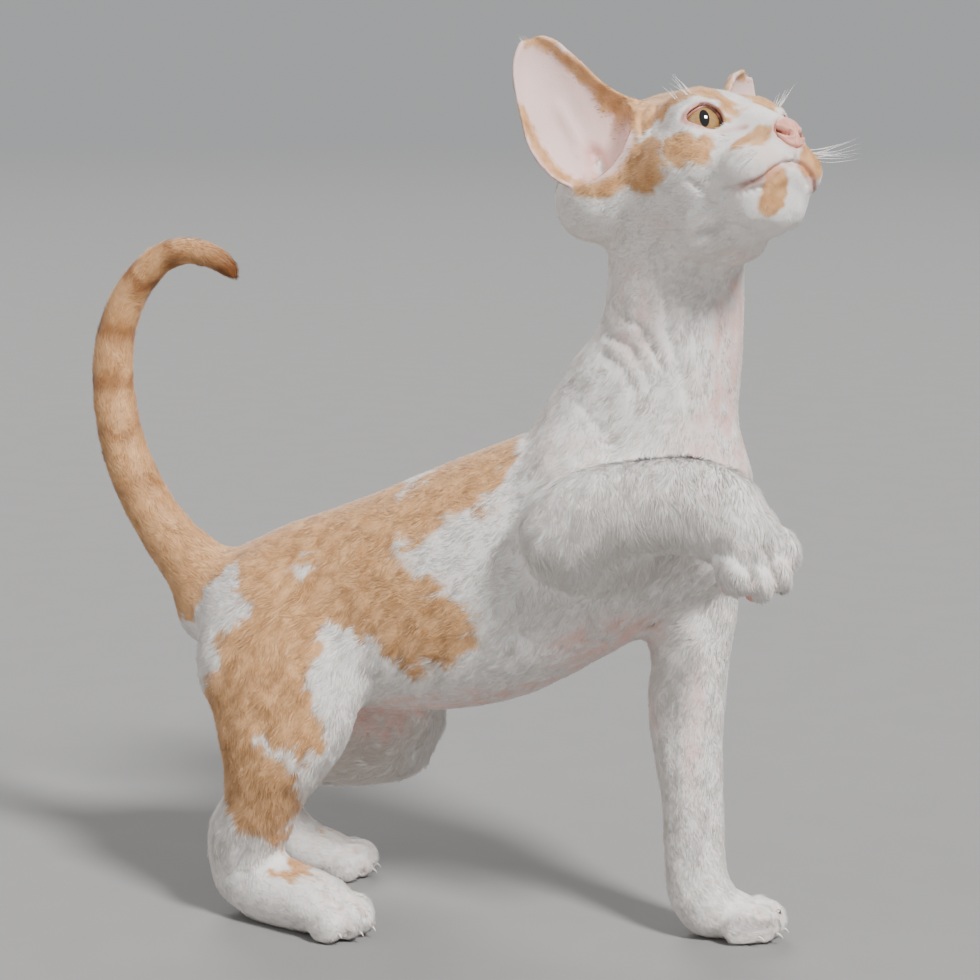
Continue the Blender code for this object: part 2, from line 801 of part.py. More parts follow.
def shape_head(pieces):
    """Carves the face, and sets in the eyes, the nose leather and the ears."""
    head = pieces["head"]
    cutters = []
    for side in (-1, 1):
        cutters.append(lid_cutter(side))
        cutters.append(head_oval(eye_middle(side), (EYE_RADIUS,) * 3, GAP, 18))
        cutters.append(ear_bowl(side))
    mouth = MOUTH[:0:-1] + [(x, -y, z) for x, y, z in MOUTH]
    cutters.append(groove_cutter(head, mouth, 0.9, 1.6))
    cutters.append(groove_cutter(head, LIP_CLEFT, 0.6, 1.0))
    for cutter in cutters:
        carve(head, cutter)
        remove(cutter)
    middle, radii = NOSE
    head, nose = part_off(pieces, "head", "nose", head_oval(middle, radii), head_oval(middle, radii, GAP))
    for side in (-1, 1):
        (x, y, z), radii = NOSTRIL
        cutter = head_oval((x, side * y, z), radii, 0, 10)
        carve(nose, cutter)
        remove(cutter)
    keep_largest(head)
    keep_largest(nose)
    pieces["head"] = head
    pieces["nose"] = nose
    around = swollen(head, GAP)
    for side, word in ((-1, "right"), (1, "left")):
        ear = ear_sheet(side, word)
        carve(ear, around)
        keep_largest(ear)
        pieces["ear_" + word] = ear
        eye = head_oval(eye_middle(side), (EYE_RADIUS,) * 3, 0, 18)
        keep_largest(eye)
        pieces["eye_" + word] = eye
    remove(around)


def paint(name, obj):
    colour = COLOURS.get(name, WHITE)
    material = bpy.data.materials.new(name)
    material.use_nodes = True
    shader = material.node_tree.nodes["Principled BSDF"]
    shader.inputs["Base Color"].default_value = (*colour, 1)
    shader.inputs["Roughness"].default_value = 0.08 if name.startswith("eye") else 0.8
    material.diffuse_color = (*colour, 1)
    obj.data.materials.clear()
    obj.data.materials.append(material)
    for face in obj.data.polygons:
        face.use_smooth = True
    obj.data.set_sharp_from_angle(angle=math.radians(50))


def centre_on_floor(pieces):
    """Puts the middle of the floor plan on the origin, and the soles on z = 0."""
    points = np.concatenate([points_of(piece) for piece in pieces.values()]) * MM
    low, high = points.min(axis=0), points.max(axis=0)
    shift = Vector(((low[0] + high[0]) / -2, (low[1] + high[1]) / -2, -low[2]))
    for piece in pieces.values():
        piece.data.transform(Matrix.Translation(shift))


def build():
    for obj in list(bpy.data.objects):
        bpy.data.objects.remove(obj)
    body = make_body()
    stand_on_floor(body)
    pieces = part_into_pieces(body)
    shape_head(pieces)
    for name, piece in pieces.items():
        piece.name = name
        piece.data.name = name
        paint(name, piece)
    centre_on_floor(pieces)


build()
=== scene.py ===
"""The looks of a life-size devon rex kitten that stands with one forepaw raised.

Places are in millimetres in the kitten's own frame, with +X ahead, +Y to its left and +Z up.
"""
import math

import bpy
import numpy as np
from mathutils import Matrix, Vector
from mathutils.bvhtree import BVHTree


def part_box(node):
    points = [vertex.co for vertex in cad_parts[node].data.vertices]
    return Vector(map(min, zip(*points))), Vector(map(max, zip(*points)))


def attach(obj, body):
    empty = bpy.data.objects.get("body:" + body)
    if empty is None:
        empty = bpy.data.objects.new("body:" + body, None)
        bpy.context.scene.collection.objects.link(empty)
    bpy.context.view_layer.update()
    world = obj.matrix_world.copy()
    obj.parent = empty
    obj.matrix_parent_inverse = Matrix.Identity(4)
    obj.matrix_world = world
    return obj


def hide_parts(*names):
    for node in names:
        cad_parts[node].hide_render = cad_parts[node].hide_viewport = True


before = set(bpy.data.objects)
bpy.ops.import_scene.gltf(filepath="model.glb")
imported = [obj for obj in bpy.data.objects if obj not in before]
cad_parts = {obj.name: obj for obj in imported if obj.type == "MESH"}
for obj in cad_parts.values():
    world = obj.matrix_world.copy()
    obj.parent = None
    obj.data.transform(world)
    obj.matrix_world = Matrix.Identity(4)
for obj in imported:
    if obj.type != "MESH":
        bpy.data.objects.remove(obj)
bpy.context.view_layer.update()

MM = 0.001

# The head's own frame: forward, left and up from the point midway between the eyes. The kitten
# looks up and to its right. The eyes' solids tell where that frame and the kitten's stand.
EYE = Vector((-3.0, 15.5, -1.3))
NOSE_MIDDLE = np.array((30.5, 0, -15))
HEAD_YAW, HEAD_PITCH, HEAD_ROLL = (math.radians(turn) for turn in (-36.0, 23.5, -8.5))
EYES_MIDDLE = Vector((100.5, -21.5, 335.5))
head_turn = Matrix.Rotation(HEAD_YAW, 3, "Z") @ Matrix.Rotation(-HEAD_PITCH, 3, "Y")
head_turn @= Matrix.Rotation(HEAD_ROLL, 3, "X")
eye_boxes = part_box("eye_right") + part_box("eye_left")
head_middle = sum(eye_boxes, Vector()) / 4 - head_turn @ Vector((EYE.x, 0, EYE.z)) * MM
origin = head_middle - EYES_MIDDLE * MM


def at(*place):
    """A place in the kitten's frame, in the model's metres."""
    return origin + Vector(place) * MM


def at_head(*place):
    """A place in the head's frame, in the model's metres."""
    return head_middle + head_turn @ Vector(place) * MM


# The camera: a long lens a little ahead of the kitten's right side and a little above level,
# where its outline fell on the photo's when the solids were fitted.
CAMERA_AIM = (0, -15.5, 187)
CAMERA_AZIMUTH, CAMERA_ELEVATION = math.radians(17), math.radians(9.5)
CAMERA_DISTANCE, CAMERA_LENS = 1.100, 99.0
camera_way = Vector((
    math.sin(CAMERA_AZIMUTH) * math.cos(CAMERA_ELEVATION),
    -math.cos(CAMERA_AZIMUTH) * math.cos(CAMERA_ELEVATION),
    math.sin(CAMERA_ELEVATION),
))
bpy.ops.object.camera_add(
    location=at(*CAMERA_AIM) + camera_way * CAMERA_DISTANCE,
    rotation=camera_way.to_track_quat("Z", "Y").to_euler(),
)
camera = bpy.context.object
camera.data.lens = CAMERA_LENS
camera.data.sensor_width = 36.0
camera.data.clip_start = 0.05
bpy.context.scene.camera = camera


# Shader sums are written as Python expressions on this small wrapper of one output socket.
class Socket:
    """One output of a shader node. Arithmetic on it adds the Math node that does the sum."""

    def __init__(self, tree, output=None):
        self.tree = tree
        self.output = output

    def node(self, kind, settings=None, inputs=None, output=0):
        """Adds a node of a kind, sets it up, feeds its sockets, and gives one of its outputs."""
        made = self.tree.nodes.new("ShaderNode" + kind)
        for name, value in (settings or {}).items():
            if name == "stops":
                ramp = made.color_ramp.elements
                while len(ramp) < len(value):
                    ramp.new(0.5)
                for stop, (place, colour) in zip(ramp, value):
                    stop.position = place
                    stop.color = (*colour, 1)
            else:
                setattr(made, name, value)
        for name, value in (inputs or {}).items():
            if isinstance(value, Socket):
                self.tree.links.new(value.output, made.inputs[name])
            else:
                made.inputs[name].default_value = value
        return Socket(self.tree, made.outputs[output])

    def math(self, operation, *others):
        inputs = {0: self, **{i + 1: other for i, other in enumerate(others)}}
        return self.node("Math", {"operation": operation}, inputs)

    def __add__(self, other):
        return self.math("ADD", other)

    def __sub__(self, other):
        return self.math("SUBTRACT", other)

    def __mul__(self, other):
        return self.math("MULTIPLY", other)

    def __truediv__(self, other):
        return self.math("DIVIDE", other)

    def __rsub__(self, other):
        return self.node("Math", {"operation": "SUBTRACT"}, {0: other, 1: self})

    __radd__ = __add__
    __rmul__ = __mul__

    def step(self, low, high):
        """0 where this is under low, 1 where it is over high, and smooth between."""
        settings = {"interpolation_type": "SMOOTHSTEP"}
        return self.node("MapRange", settings, {"Value": self, "From Min": low, "From Max": high})

    def mix(self, first, second):
        """A colour between the first, where this is 0, and the second, where it is 1."""
        settings = {"data_type": "RGBA"}
        return self.node("Mix", settings, {0: self, 6: first, 7: second}, output=2)


def material(name, finish, **constants):
    """A Principled material. finish(socket) gives the varying inputs, and the rest are constants."""
    made = bpy.data.materials.new(name)
    made.use_nodes = True
    shader = made.node_tree.nodes["Principled BSDF"]
    for name, value in constants.items():
        shader.inputs[name.replace("_", " ")].default_value = value
    for name, value in finish(Socket(made.node_tree)).items():
        made.node_tree.links.new(value.output, shader.inputs[name])
    return made


def pick(*objects):
    """Selects these objects alone, the first of them active."""
    bpy.ops.object.select_all(action="DESELECT")
    for obj in objects:
        obj.select_set(True)
    bpy.context.view_layer.objects.active = objects[0]


def apply(obj, kind, **settings):
    """Adds a modifier to an object and applies it."""
    modifier = obj.modifiers.new(kind.lower(), kind)
    for name, value in settings.items():
        setattr(modifier, name, value)
    pick(obj)
    bpy.ops.object.modifier_apply(modifier=modifier.name)


# The skin: one closed surface over the head, neck, body, legs and tail, with the ears' thin
# sheets. It is melted out of the solids, smoothed, and drawn in by the depth of the coat.
SKIN_GRAIN = 0.8 * MM
SKIN_TRIANGLES = 196000
FLESH = [node for node in sorted(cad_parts) if not node.startswith("eye") and node != "nose"]


def copy_of(node):
    """A merged copy of one solid, to be reshaped."""
    obj = bpy.data.objects.new(node + "_flesh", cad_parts[node].data.copy())
    bpy.context.scene.collection.objects.link(obj)
    obj.data.materials.clear()
    pick(obj)
    bpy.ops.object.mode_set(mode="EDIT")
    bpy.ops.mesh.select_all(action="SELECT")
    bpy.ops.mesh.remove_doubles(threshold=0.01 * MM)
    bpy.ops.object.mode_set(mode="OBJECT")
    return obj


def read(mesh, collection, name, width, kind=np.float32):
    """One property of all of a mesh's points, edges, corners or faces, as an array."""
    items = getattr(mesh, collection)
    values = np.empty(len(items) * width, kind)
    items.foreach_get(name, values)
    return values.reshape(-1, width) if width > 1 else values


def set_points(mesh, points):
    mesh.vertices.foreach_set("co", points.astype(np.float32).ravel())
    mesh.update()


copies = {node: copy_of(node) for node in FLESH}
solid_points, solid_faces, solid_nodes = [], [], []
for number, node in enumerate(FLESH):
    shape = copies[node].data
    start = len(solid_points)
    solid_points.extend(vertex.co.copy() for vertex in shape.vertices)
    solid_faces.extend([start + i for i in face.vertices] for face in shape.polygons)
    solid_nodes.extend([number] * len(shape.polygons))
solids = BVHTree.FromPolygons(solid_points, solid_faces)
for side in ("right", "left"):
    ear = copies["ear_" + side]
    apply(ear, "SUBSURF", levels=2, render_levels=2)
    places = read(ear.data, "vertices", "co", 3).astype(float)
    thin = ((places - np.array(head_middle)) @ np.array(head_turn) / MM)[:, 2]
    outward = read(ear.data, "vertex_normals", "vector", 3).astype(float)
    set_points(ear.data, places + outward * (0.55 * MM * np.clip((thin - 30) / 12, 0, 1))[:, None])
pick(*copies.values())
bpy.ops.object.join()
skin = bpy.context.object
skin.name = skin.data.name = "skin"
apply(skin, "REMESH", mode="VOXEL", voxel_size=SKIN_GRAIN)


def nodes_at(points):
    """The number in FLESH of the solid nearest to each point."""
    return np.array([solid_nodes[solids.find_nearest(Vector(point))[2]] for point in points])


def group(obj, name, weights):
    """A vertex group whose weights take a few steps from 0 to 1."""
    made = obj.vertex_groups.new(name=name)
    steps = np.round(np.clip(weights, 0, 1) * 20).astype(int)
    for step in range(1, 21):
        made.add(np.flatnonzero(steps == step).tolist(), step / 20, "REPLACE")


SOFTNESS = {"head": 0.45, "ear_right": 0.1, "ear_left": 0.1}
PAW_SOFTNESS = 0.4
FACE_START = -24
points = read(skin.data, "vertices", "co", 3)
soft = [PAW_SOFTNESS if "paw" in node or "foot" in node else SOFTNESS.get(node, 1) for node in FLESH]
group(skin, "soft", np.array(soft)[nodes_at(points)])
apply(skin, "SMOOTH", factor=0.5, iterations=28, vertex_group="soft")


def in_head(points):
    """Points of the model in the head's frame, in millimetres."""
    return (points - np.array(head_middle)) @ np.array(head_turn) / MM


def in_body(points):
    """Points of the model in the kitten's frame, in millimetres."""
    return (points - np.array(origin)) / MM


points = read(skin.data, "vertices", "co", 3)
is_head = nodes_at(points) == FLESH.index("head")
group(skin, "coarse", ~(is_head & (in_head(points)[:, 0] > FACE_START)))
share = SKIN_TRIANGLES / (2 * len(skin.data.polygons))
apply(skin, "DECIMATE", ratio=share, vertex_group="coarse", vertex_group_factor=1.0)
skin.vertex_groups.clear()


def grow(values, edges, rounds):
    """Spreads values over the skin: each point takes the mean of itself and its neighbours."""
    ends = np.concatenate([edges, edges[:, ::-1]])
    count = np.bincount(ends[:, 0], minlength=len(values))
    flat = values.reshape(len(values), -1)
    for _ in range(rounds):
        sums = [np.bincount(ends[:, 0], column[ends[:, 1]], len(flat)) for column in flat.T]
        flat = (flat + np.stack(sums, 1)) / (1 + count[:, None])
    return flat.reshape(values.shape)


def ripple(points, size, seed):
    """A smooth random field over points in millimetres, with waves about that long, mean square 1."""
    chance = np.random.default_rng(seed)
    ways = chance.normal(size=(28, 3))
    ways *= (math.tau / size * chance.uniform(0.6, 1.4, 28) / np.linalg.norm(ways, axis=1))[:, None]
    waves = np.cos(points @ ways.T + chance.uniform(0, math.tau, 28))
    return waves.sum(1) / math.sqrt(14)


def path_distance(points, path):
    """The distance from each point to a line through the places of a path."""
    path = np.array(path, float)
    best = np.full(len(points), np.inf)
    for start, end in zip(path[:-1], path[1:]):
        along = end - start
        t = np.clip((points - start) @ along / (along @ along), 0, 1)
        best = np.minimum(best, np.linalg.norm(points - start - t[:, None] * along, axis=1))
    return best


def bump(distance, width):
    """1 at a distance of 0, falling smoothly to almost 0 at twice the width."""
    return np.exp(-((distance / width) ** 2))


def smooth_step(values, low, high):
    t = np.clip((values - low) / (high - low), 0, 1)
    return t * t * (3 - 2 * t)


def mirrored(path):
    """The same path on the left side of the head."""
    return [(forward, -left, up) for forward, left, up in path]


# The face's folds: lids, brow, the line of the mouth, whisker pads and the wrinkles by the ears.
# Each is a line in the head's frame, with how far it stands out and how wide it is.
LID_OPENING = [(66, 0), (44, 17), (18, 26), (-3, 15), (-20, -13), (-7, -25), (14, -30), (40, -19)]


def lid_ring(side, radius, count=48):
    """Places round the opening of the lids, at a distance from the eye's middle, in the head's frame."""
    loop = np.array(LID_OPENING[-1:] + LID_OPENING + LID_OPENING[:2], float)
    ring = []
    for i in range(count):
        first, t = divmod(i * len(LID_OPENING) / count, 1)
        a, b, c, d = loop[int(first):int(first) + 4]
        bend = (2 * a - 5 * b + 4 * c - d) * t**2 + (3 * b - a - 3 * c + d) * t**3
        yaw, pitch = np.radians(b + ((c - a) * t + bend) / 2)
        way = (math.cos(yaw) * math.cos(pitch), side * math.sin(yaw) * math.cos(pitch), math.sin(pitch))
        ring.append(np.array((EYE.x, side * EYE.y, EYE.z)) + radius * np.array(way))
    return np.array(ring)


RIGHT, LEFT = -1, 1
MOUTH = [
    (31, 0, -27.5), (30.5, -5, -28), (29, -9, -30.5), (26, -12, -32.5), (21, -16, -34), (15, -18, -34),
    (7, -18.5, -32),
]
LIP_CLEFT = [(34, 0, -20), (33, 0, -24), (31, 0, -27.5)]
TEAR_LINE = [(11, -16, -8), (14, -12.5, -8), (17, -10, -9)]
FOLDS = [
    (MOUTH, -1.7, 0.9),
    (LIP_CLEFT, -1.0, 0.6),
    ([(27, -9, -23), (21, -14, -27)], 1.0, 4.2),
    ([(27, -3, -32), (25, -9, -36)], 0.6, 2.2),
    ([(25, -9, -12), (20, -14, -16), (15, -19, -22)], -0.6, 1.2),
    ([(-8, -24, 9), (3, -22, 8), (10, -15, 3)], 0.8, 2.2),
    ([(1, -28, 0), (4, -25.5, 4), (8, -20, 3), (10.5, -15, -1)], -0.6, 0.9),
    ([(2, -27.5, -6), (7, -23, -9.5), (11, -16, -9)], 0.5, 1.4),
    (TEAR_LINE, -0.7, 0.9),
    ([(5, -18, -35), (0, -22, -30), (-3, -25, -24)], -0.7, 1.7),
    ([(-29, -21, 20), (-27, -27, 14), (-26, -29.5, 6), (-25, -30, 0)], -1.1, 1.2),
    ([(-24, -22, 17), (-22.5, -27.5, 9), (-21.5, -28.5, 2)], -1.0, 1.1),
    ([(-20, -21, 14), (-18.5, -26, 9), (-17.5, -28, 2)], -0.8, 1.1),
    ([(14, -7, -47), (-2, -14, -44), (-14, -18, -44), (-27, -22, -38)], -1.6, 2.6),
    ([(-42, -37, -16), (-40, -38, -21)], -1.2, 1.6),
]
# Folds of the ear's hollow side: the ridge that runs down to the notch, the canal and the pocket
EAR_FOLDS = [
    ([(-53, -42, 23), (-53, -38, 15), (-53, -35, 7), (-51, -35, -2), (-46, -39, -10)], 1.5, 2.0),
    ([(-50, -30, 5), (-49, -30, 0), (-45, -33, -6)], -3.2, 2.2),
    ([(-57, -53, 5), (-55.5, -51.5, 0), (-53.5, -49, -4)], -0.9, 1.3),
    ([(-57, -50, 8), (-55, -47, 2), (-51, -45, -5)], 0.8, 1.4),
    ([(-45, -42, 34), (-46, -36, 22), (-46, -31, 12)], 0.5, 2.2),
]
# The furred rim of the ear's hollow side, as places with the width of the band there
EAR_RIM = [
    ([(-49, -55, 49), (-46, -50, 48), (-44, -46, 43), (-41, -40, 37)], 2.6),
    ([(-41, -40, 37), (-38, -34, 29), (-37, -28, 23)], 4.2),
    ([(-37, -28, 23), (-31, -24, 21), (-24, -26, 12)], 7.0),
    ([(-55, -59, 22), (-57, -56, 15), (-57, -53, 9)], 2.4),
    ([(-57, -53, 9), (-56, -50, 2), (-54, -46, -5), (-52, -41, -8)], 3.2),
]
# Wrinkles of the neck's loose skin, on its right side in the kitten's frame, and then mirrored
NECK_FOLDS = [
    ([(50, -17, 263), (65, -27, 257), (74, -29, 243)], -1.2, 1.8),
    ([(48, -19, 253), (61, -27, 249), (70, -30, 235)], -1.2, 1.8),
    ([(48, -22, 246), (60, -29, 239), (66, -31, 230)], -1.1, 1.8),
    ([(32, -17, 233), (46, -30, 221), (55, -34, 210)], -0.8, 2.4),
    ([(74, -29, 283), (76, -28, 256), (85, -25, 229), (88, -26, 208)], -1.1, 2.2),
    ([(86, -30, 283), (87, -25, 256), (94, -18, 221), (97, -18, 205)], -1.3, 2.2),
    ([(94, -24, 280), (96, -17, 256), (100, -6, 216)], -1.2, 2.0),
    ([(76, -7, 112), (75, -7, 86), (75, -7, 61)], -0.7, 1.8),
]
# Each paw: the middle of its ball on the sole, the ways its toes and its back face, and its size
PAWS = {
    "foot_right": ((-59, -40.5, 0), (0.95, -0.32, 0), (0, 0, 1), 1.02),
    "foot_left": ((-84.5, 37.5, -0.5), (0.99, 0.1, 0), (0, 0, 1), 0.96),
    "forepaw_left": ((105, 5, -0.5), (1, -0.1, 0), (0, 0, 1), 1.02),
    "forepaw_right": ((113, -46, 171), (0.45, 0, -0.9), (0.55, -0.8, 0.2), 1.14),
}
TOES = [(2.0, -10.8), (7.5, -3.9), (7.5, 3.9), (2.0, 10.8)]
CLEFTS = [(side * 7.4, reach) for side, reach in ((-1, 11), (1, 11))] + [(0, 16.5)]


def paw_place(paw):
    """The matrix from a paw's own frame, ahead, left and up in millimetres, to the kitten's."""
    ball, toes, back, size = PAWS[paw]
    ahead = Vector(toes).normalized()
    left = Vector(back).cross(ahead).normalized()
    turn = Matrix((ahead, left, ahead.cross(left))).transposed().to_4x4()
    return Matrix.Translation(ball) @ turn @ Matrix.Scale(size, 4)


def in_paw(paw, points):
    """Points of the kitten's frame in a paw's own frame."""
    back = np.array(paw_place(paw).inverted())
    return points @ back[:3, :3].T + back[:3, 3]


def cleft_distance(paw, points):
    """How far points lie from the clefts between the toes of a paw, in its own millimetres."""
    own = in_paw(paw, points)
    lines = [
        [(-2, y * 0.9, 19), (reach * 0.55, y, 16), (reach, y, 9), (reach + 0.5, y, 0)] for y, reach in CLEFTS
    ]
    return np.min([path_distance(own, line) for line in lines], axis=0)


def in_ovals(points, ovals):
    """How far points lie inside the nearest of some ovals, in millimetres, negative outside."""
    depths = []
    for middle, radii in ovals:
        reach = np.linalg.norm((points - middle) / np.array(radii), axis=1)
        depths.append((1 - reach) * np.mean(radii))
    return np.max(depths, axis=0)


# The ears' hollow sides, bare and pink: the way out of each ear's back, and the bowl at its root
EAR_BACK = np.array((-0.81, 0.57, 0.10))
EAR_BOWL = ((-39, -41, 7), (21, 21, 21))


def ear_hollow(points, normals, nodes):
    """1 on the hollow sides of the ears and 0 elsewhere."""
    head, facing = in_head(points), normals @ np.array(head_turn)
    hollow = np.zeros(len(points))
    for side, node in ((1, "ear_right"), (-1, "ear_left")):
        mirror = np.array((1, side, 1))
        inward = smooth_step(-(facing * mirror) @ EAR_BACK, 0.0, 0.3)
        bowl = smooth_step(in_ovals(head * mirror, [EAR_BOWL]), 0, 4) * (nodes == FLESH.index("head"))
        furred = [width - path_distance(head * mirror, path) for path, width in EAR_RIM]
        furred = smooth_step(np.max(furred, axis=0) + 0.6 * ripple(head, 5, 8), -1.4, 1.4)
        hollow = np.maximum(hollow, inward * (1 - furred) * np.maximum(nodes == FLESH.index(node), bowl))
    return hollow


mesh = skin.data
points = read(mesh, "vertices", "co", 3).astype(float)
edges = read(mesh, "edges", "vertices", 2, np.int32)
normals = read(mesh, "vertex_normals", "vector", 3).astype(float)
nodes = nodes_at(points)

# Loose skin spans the sharp creases where the legs join the body.
UNSPANNED = ("head", "ear", "foot", "forepaw")
SPAN_EDGE, SPAN_STEPS = 8, 60
spanned = np.array([not node.startswith(UNSPANNED) for node in FLESH])[nodes]
spanned = grow(spanned, edges, SPAN_EDGE)
for _ in range(SPAN_STEPS):
    sunk = ((grow(points, edges, 1) - points) * normals).sum(1)
    points += normals * (np.maximum(sunk, 0) * spanned)[:, None]
set_points(mesh, points)
normals = read(mesh, "vertex_normals", "vector", 3).astype(float)
head = in_head(points)
body = in_body(points)
rise = np.zeros(len(points))
for path, height, width in FOLDS:
    for line in (path, mirrored(path)):
        rise += height * bump(path_distance(head, line), width)
for path, height, width in NECK_FOLDS:
    for line in (path, mirrored(path)):
        rise += height * bump(path_distance(body, line), width)
hollow = ear_hollow(points, normals, nodes)
for path, height, width in EAR_FOLDS:
    for line in (path, mirrored(path)):
        rise += hollow * height * bump(path_distance(head, line), width)
clefts = np.min([cleft_distance(paw, body) for paw in PAWS], axis=0)
rise -= 1.3 * bump(clefts, 1.2)

# The coat's depth is what the skin lies inside the solids by, least on the face, ears and feet.
COAT_DEPTH = {
    "head": 0.5, "ear_right": 0.15, "ear_left": 0.15, "neck": 0.8, "torso": 1.0,
    "foot_right": 0.6, "foot_left": 0.6, "forepaw_left": 0.6,
}
COMMON_DEPTH = 1.1
depth = np.array([COAT_DEPTH.get(node, COMMON_DEPTH) for node in FLESH])[nodes]
depth = grow(depth, edges, 12)
from_nose = np.linalg.norm(head - NOSE_MIDDLE, axis=1)
depth *= smooth_step(from_nose, 6.5, 10)
points += normals * ((rise - depth) * MM)[:, None]
points[:, 2] = np.maximum(points[:, 2], 0)
set_points(mesh, points)
head = in_head(points)
body = in_body(points)
normals = read(mesh, "vertex_normals", "vector", 3).astype(float)

# The markings: a red tabby and white coat. Ginger covers the saddle, rump, tail and hocks and
# patches of the head. The body's patches are outlines seen from the side, in x and z.
SADDLE = [
    (14, 235), (12, 209), (11, 202), (8, 192), (4, 181), (-3, 177), (-8, 179), (-13, 181), (-15, 175),
    (-18, 169), (-26, 166), (-34, 170), (-34, 165), (-29, 160), (-23, 155), (-15, 152), (-7, 145), (-1, 139),
    (-1, 129), (-6, 121), (-16, 117), (-27, 112), (-36, 117), (-45, 124), (-56, 131), (-64, 132), (-68, 125),
    (-66, 114), (-67, 102), (-64, 91), (-62, 83), (-68, 75), (-74, 78), (-83, 85), (-90, 87), (-90, 83),
    (-81, 77), (-74, 69), (-74, 56), (-80, 46), (-84, 37), (-90, 40), (-99, 46), (-104, 52), (-116, 60),
    (-150, 90), (-150, 235),
]
SADDLE_LEFT = [
    (12, 235), (9, 206), (0, 194), (-12, 186), (-16, 172), (-8, 160), (-10, 146), (-24, 136), (-30, 124),
    (-46, 120), (-58, 128), (-68, 120), (-70, 100), (-84, 88), (-104, 84), (-150, 92), (-150, 235),
]
RUMP = [
    (-109, 152), (-105, 144), (-107, 140), (-99, 138), (-98, 132), (-107, 128), (-114, 123), (-113, 116),
    (-111, 111), (-115, 103), (-126, 98), (-150, 98), (-150, 116), (-132, 126), (-126, 138), (-118, 147),
]
SPOT = [(-79, 156), (-74, 159), (-73, 153), (-81, 148), (-83, 152)]
BACK_NOTCH = [(-41, 205), (-39, 183), (-35, 183), (-33, 186), (-27, 191), (-22, 205)]
FOOT_PATCH = [(-91, 22), (-87, 27), (-84, 32), (-76, 28), (-66, 25), (-77, 22)]
ANKLE_LEFT = [(-104, 32), (-96, 24), (-91, 20), (-96, 40), (-104, 42)]
# Head patches: ovals in the head's frame, as middle and radii, on one side or on both
EYE_PATCH = [((-1, -29, -12), (7, 8, 7)), ((6, -24, -15), (6, 7, 6))]
CROWN = [((-34, -20, 16), (20, 22, 22)), ((-14, -22, 14), (14, 16, 9)), ((-34, -38, -8), (19, 14, 12))]
BROW = [((-4, -17, 12), (16, 13, 9)), ((8, -9, 4), (10, 6, 8)), ((-19, -31, -12), (12, 9, 12))]
NOSE_SIDE = [((25, -12, -15), (6, 7, 5.5)), ((19, -15, -17), (4, 5, 4))]
CHIN = [((27, -7, -38), (8, 6.5, 10)), ((24, -9, -43), (6, 6, 6))]
PAD_LEFT = [((31, 11, -25), (8, 8, 8))]
TAIL_LINE = [
    (-112, 0, 133), (-127, 0, 137), (-140, 0, 147), (-153, 1, 161), (-163.5, 2, 177), (-171, 3, 194),
    (-175.5, 4, 214), (-176.5, 5, 232), (-173, 5, 249), (-164, 4, 265.5), (-151.5, 3, 277), (-137, 1, 280.5),
    (-124.5, 0, 277), (-118, 0, 271.5),
]
# The tail's rings: how far each lies from the tip, its half width and its strength
RINGS = [
    (0, 17, 1.0), (31, 5, 0.75), (51, 6, 0.85), (76, 6, 0.75), (100, 4.5, 0.7), (123, 5, 0.55), (147, 6, 0.4),
]


def inside(points, outline):
    """How far points of the side view lie inside an outline, in millimetres, negative outside."""
    corners = np.array(outline, float)
    away = np.full(len(points), np.inf)
    crossings = np.zeros(len(points), int)
    for (x0, z0), (x1, z1) in zip(corners, np.roll(corners, -1, 0)):
        along = np.array((x1 - x0, z1 - z0))
        off = points - (x0, z0)
        t = np.clip(off @ along / (along @ along), 0, 1)
        away = np.minimum(away, np.hypot(*(off - t[:, None] * along).T))
        between = (z0 > points[:, 1]) != (z1 > points[:, 1])
        across = x0 + (points[:, 1] - z0) * (x1 - x0) / (z1 - z0 + 1e-9)
        crossings += between & (points[:, 0] < across)
    return np.where(crossings % 2 == 1, away, -away)


def along_tail(points):
    """How far along the tail each point lies from the tip, and its distance from the tail's line."""
    line = np.array(TAIL_LINE[::-1], float)
    starts = np.concatenate([[0], np.cumsum(np.linalg.norm(np.diff(line, axis=0), axis=1))])
    best = np.full(len(points), np.inf)
    reach = np.zeros(len(points))
    for i, (start, end) in enumerate(zip(line[:-1], line[1:])):
        along = end - start
        t = np.clip((points - start) @ along / (along @ along), 0, 1)
        away = np.linalg.norm(points - start - t[:, None] * along, axis=1)
        nearer = away < best
        best[nearer] = away[nearer]
        reach[nearer] = (starts[i] + t * np.linalg.norm(along))[nearer]
    return reach, best


# Where little or no hair covers the pink skin: ovals in the kitten's frame, with a strength
BARE = [
    ((0, 0, 92), (78, 34, 26), 0.75),
    ((40, -6, 132), (40, 30, 26), 0.8),
    ((98, -6, 232), (14, 20, 62), 0.7),
    ((92, -20, 205), (18, 18, 40), 0.5),
    ((-58, 8, 84), (34, 26, 24), 0.8),
    ((84, -7, 100), (7, 10, 52), 0.55),
    ((62, -26, 262), (16, 14, 30), 0.35),
    ((96, -22, 292), (24, 22, 14), 0.5),
    ((78, -30, 300), (18, 12, 14), 0.4),
    ((34, -34, 205), (26, 16, 14), 0.3),
]


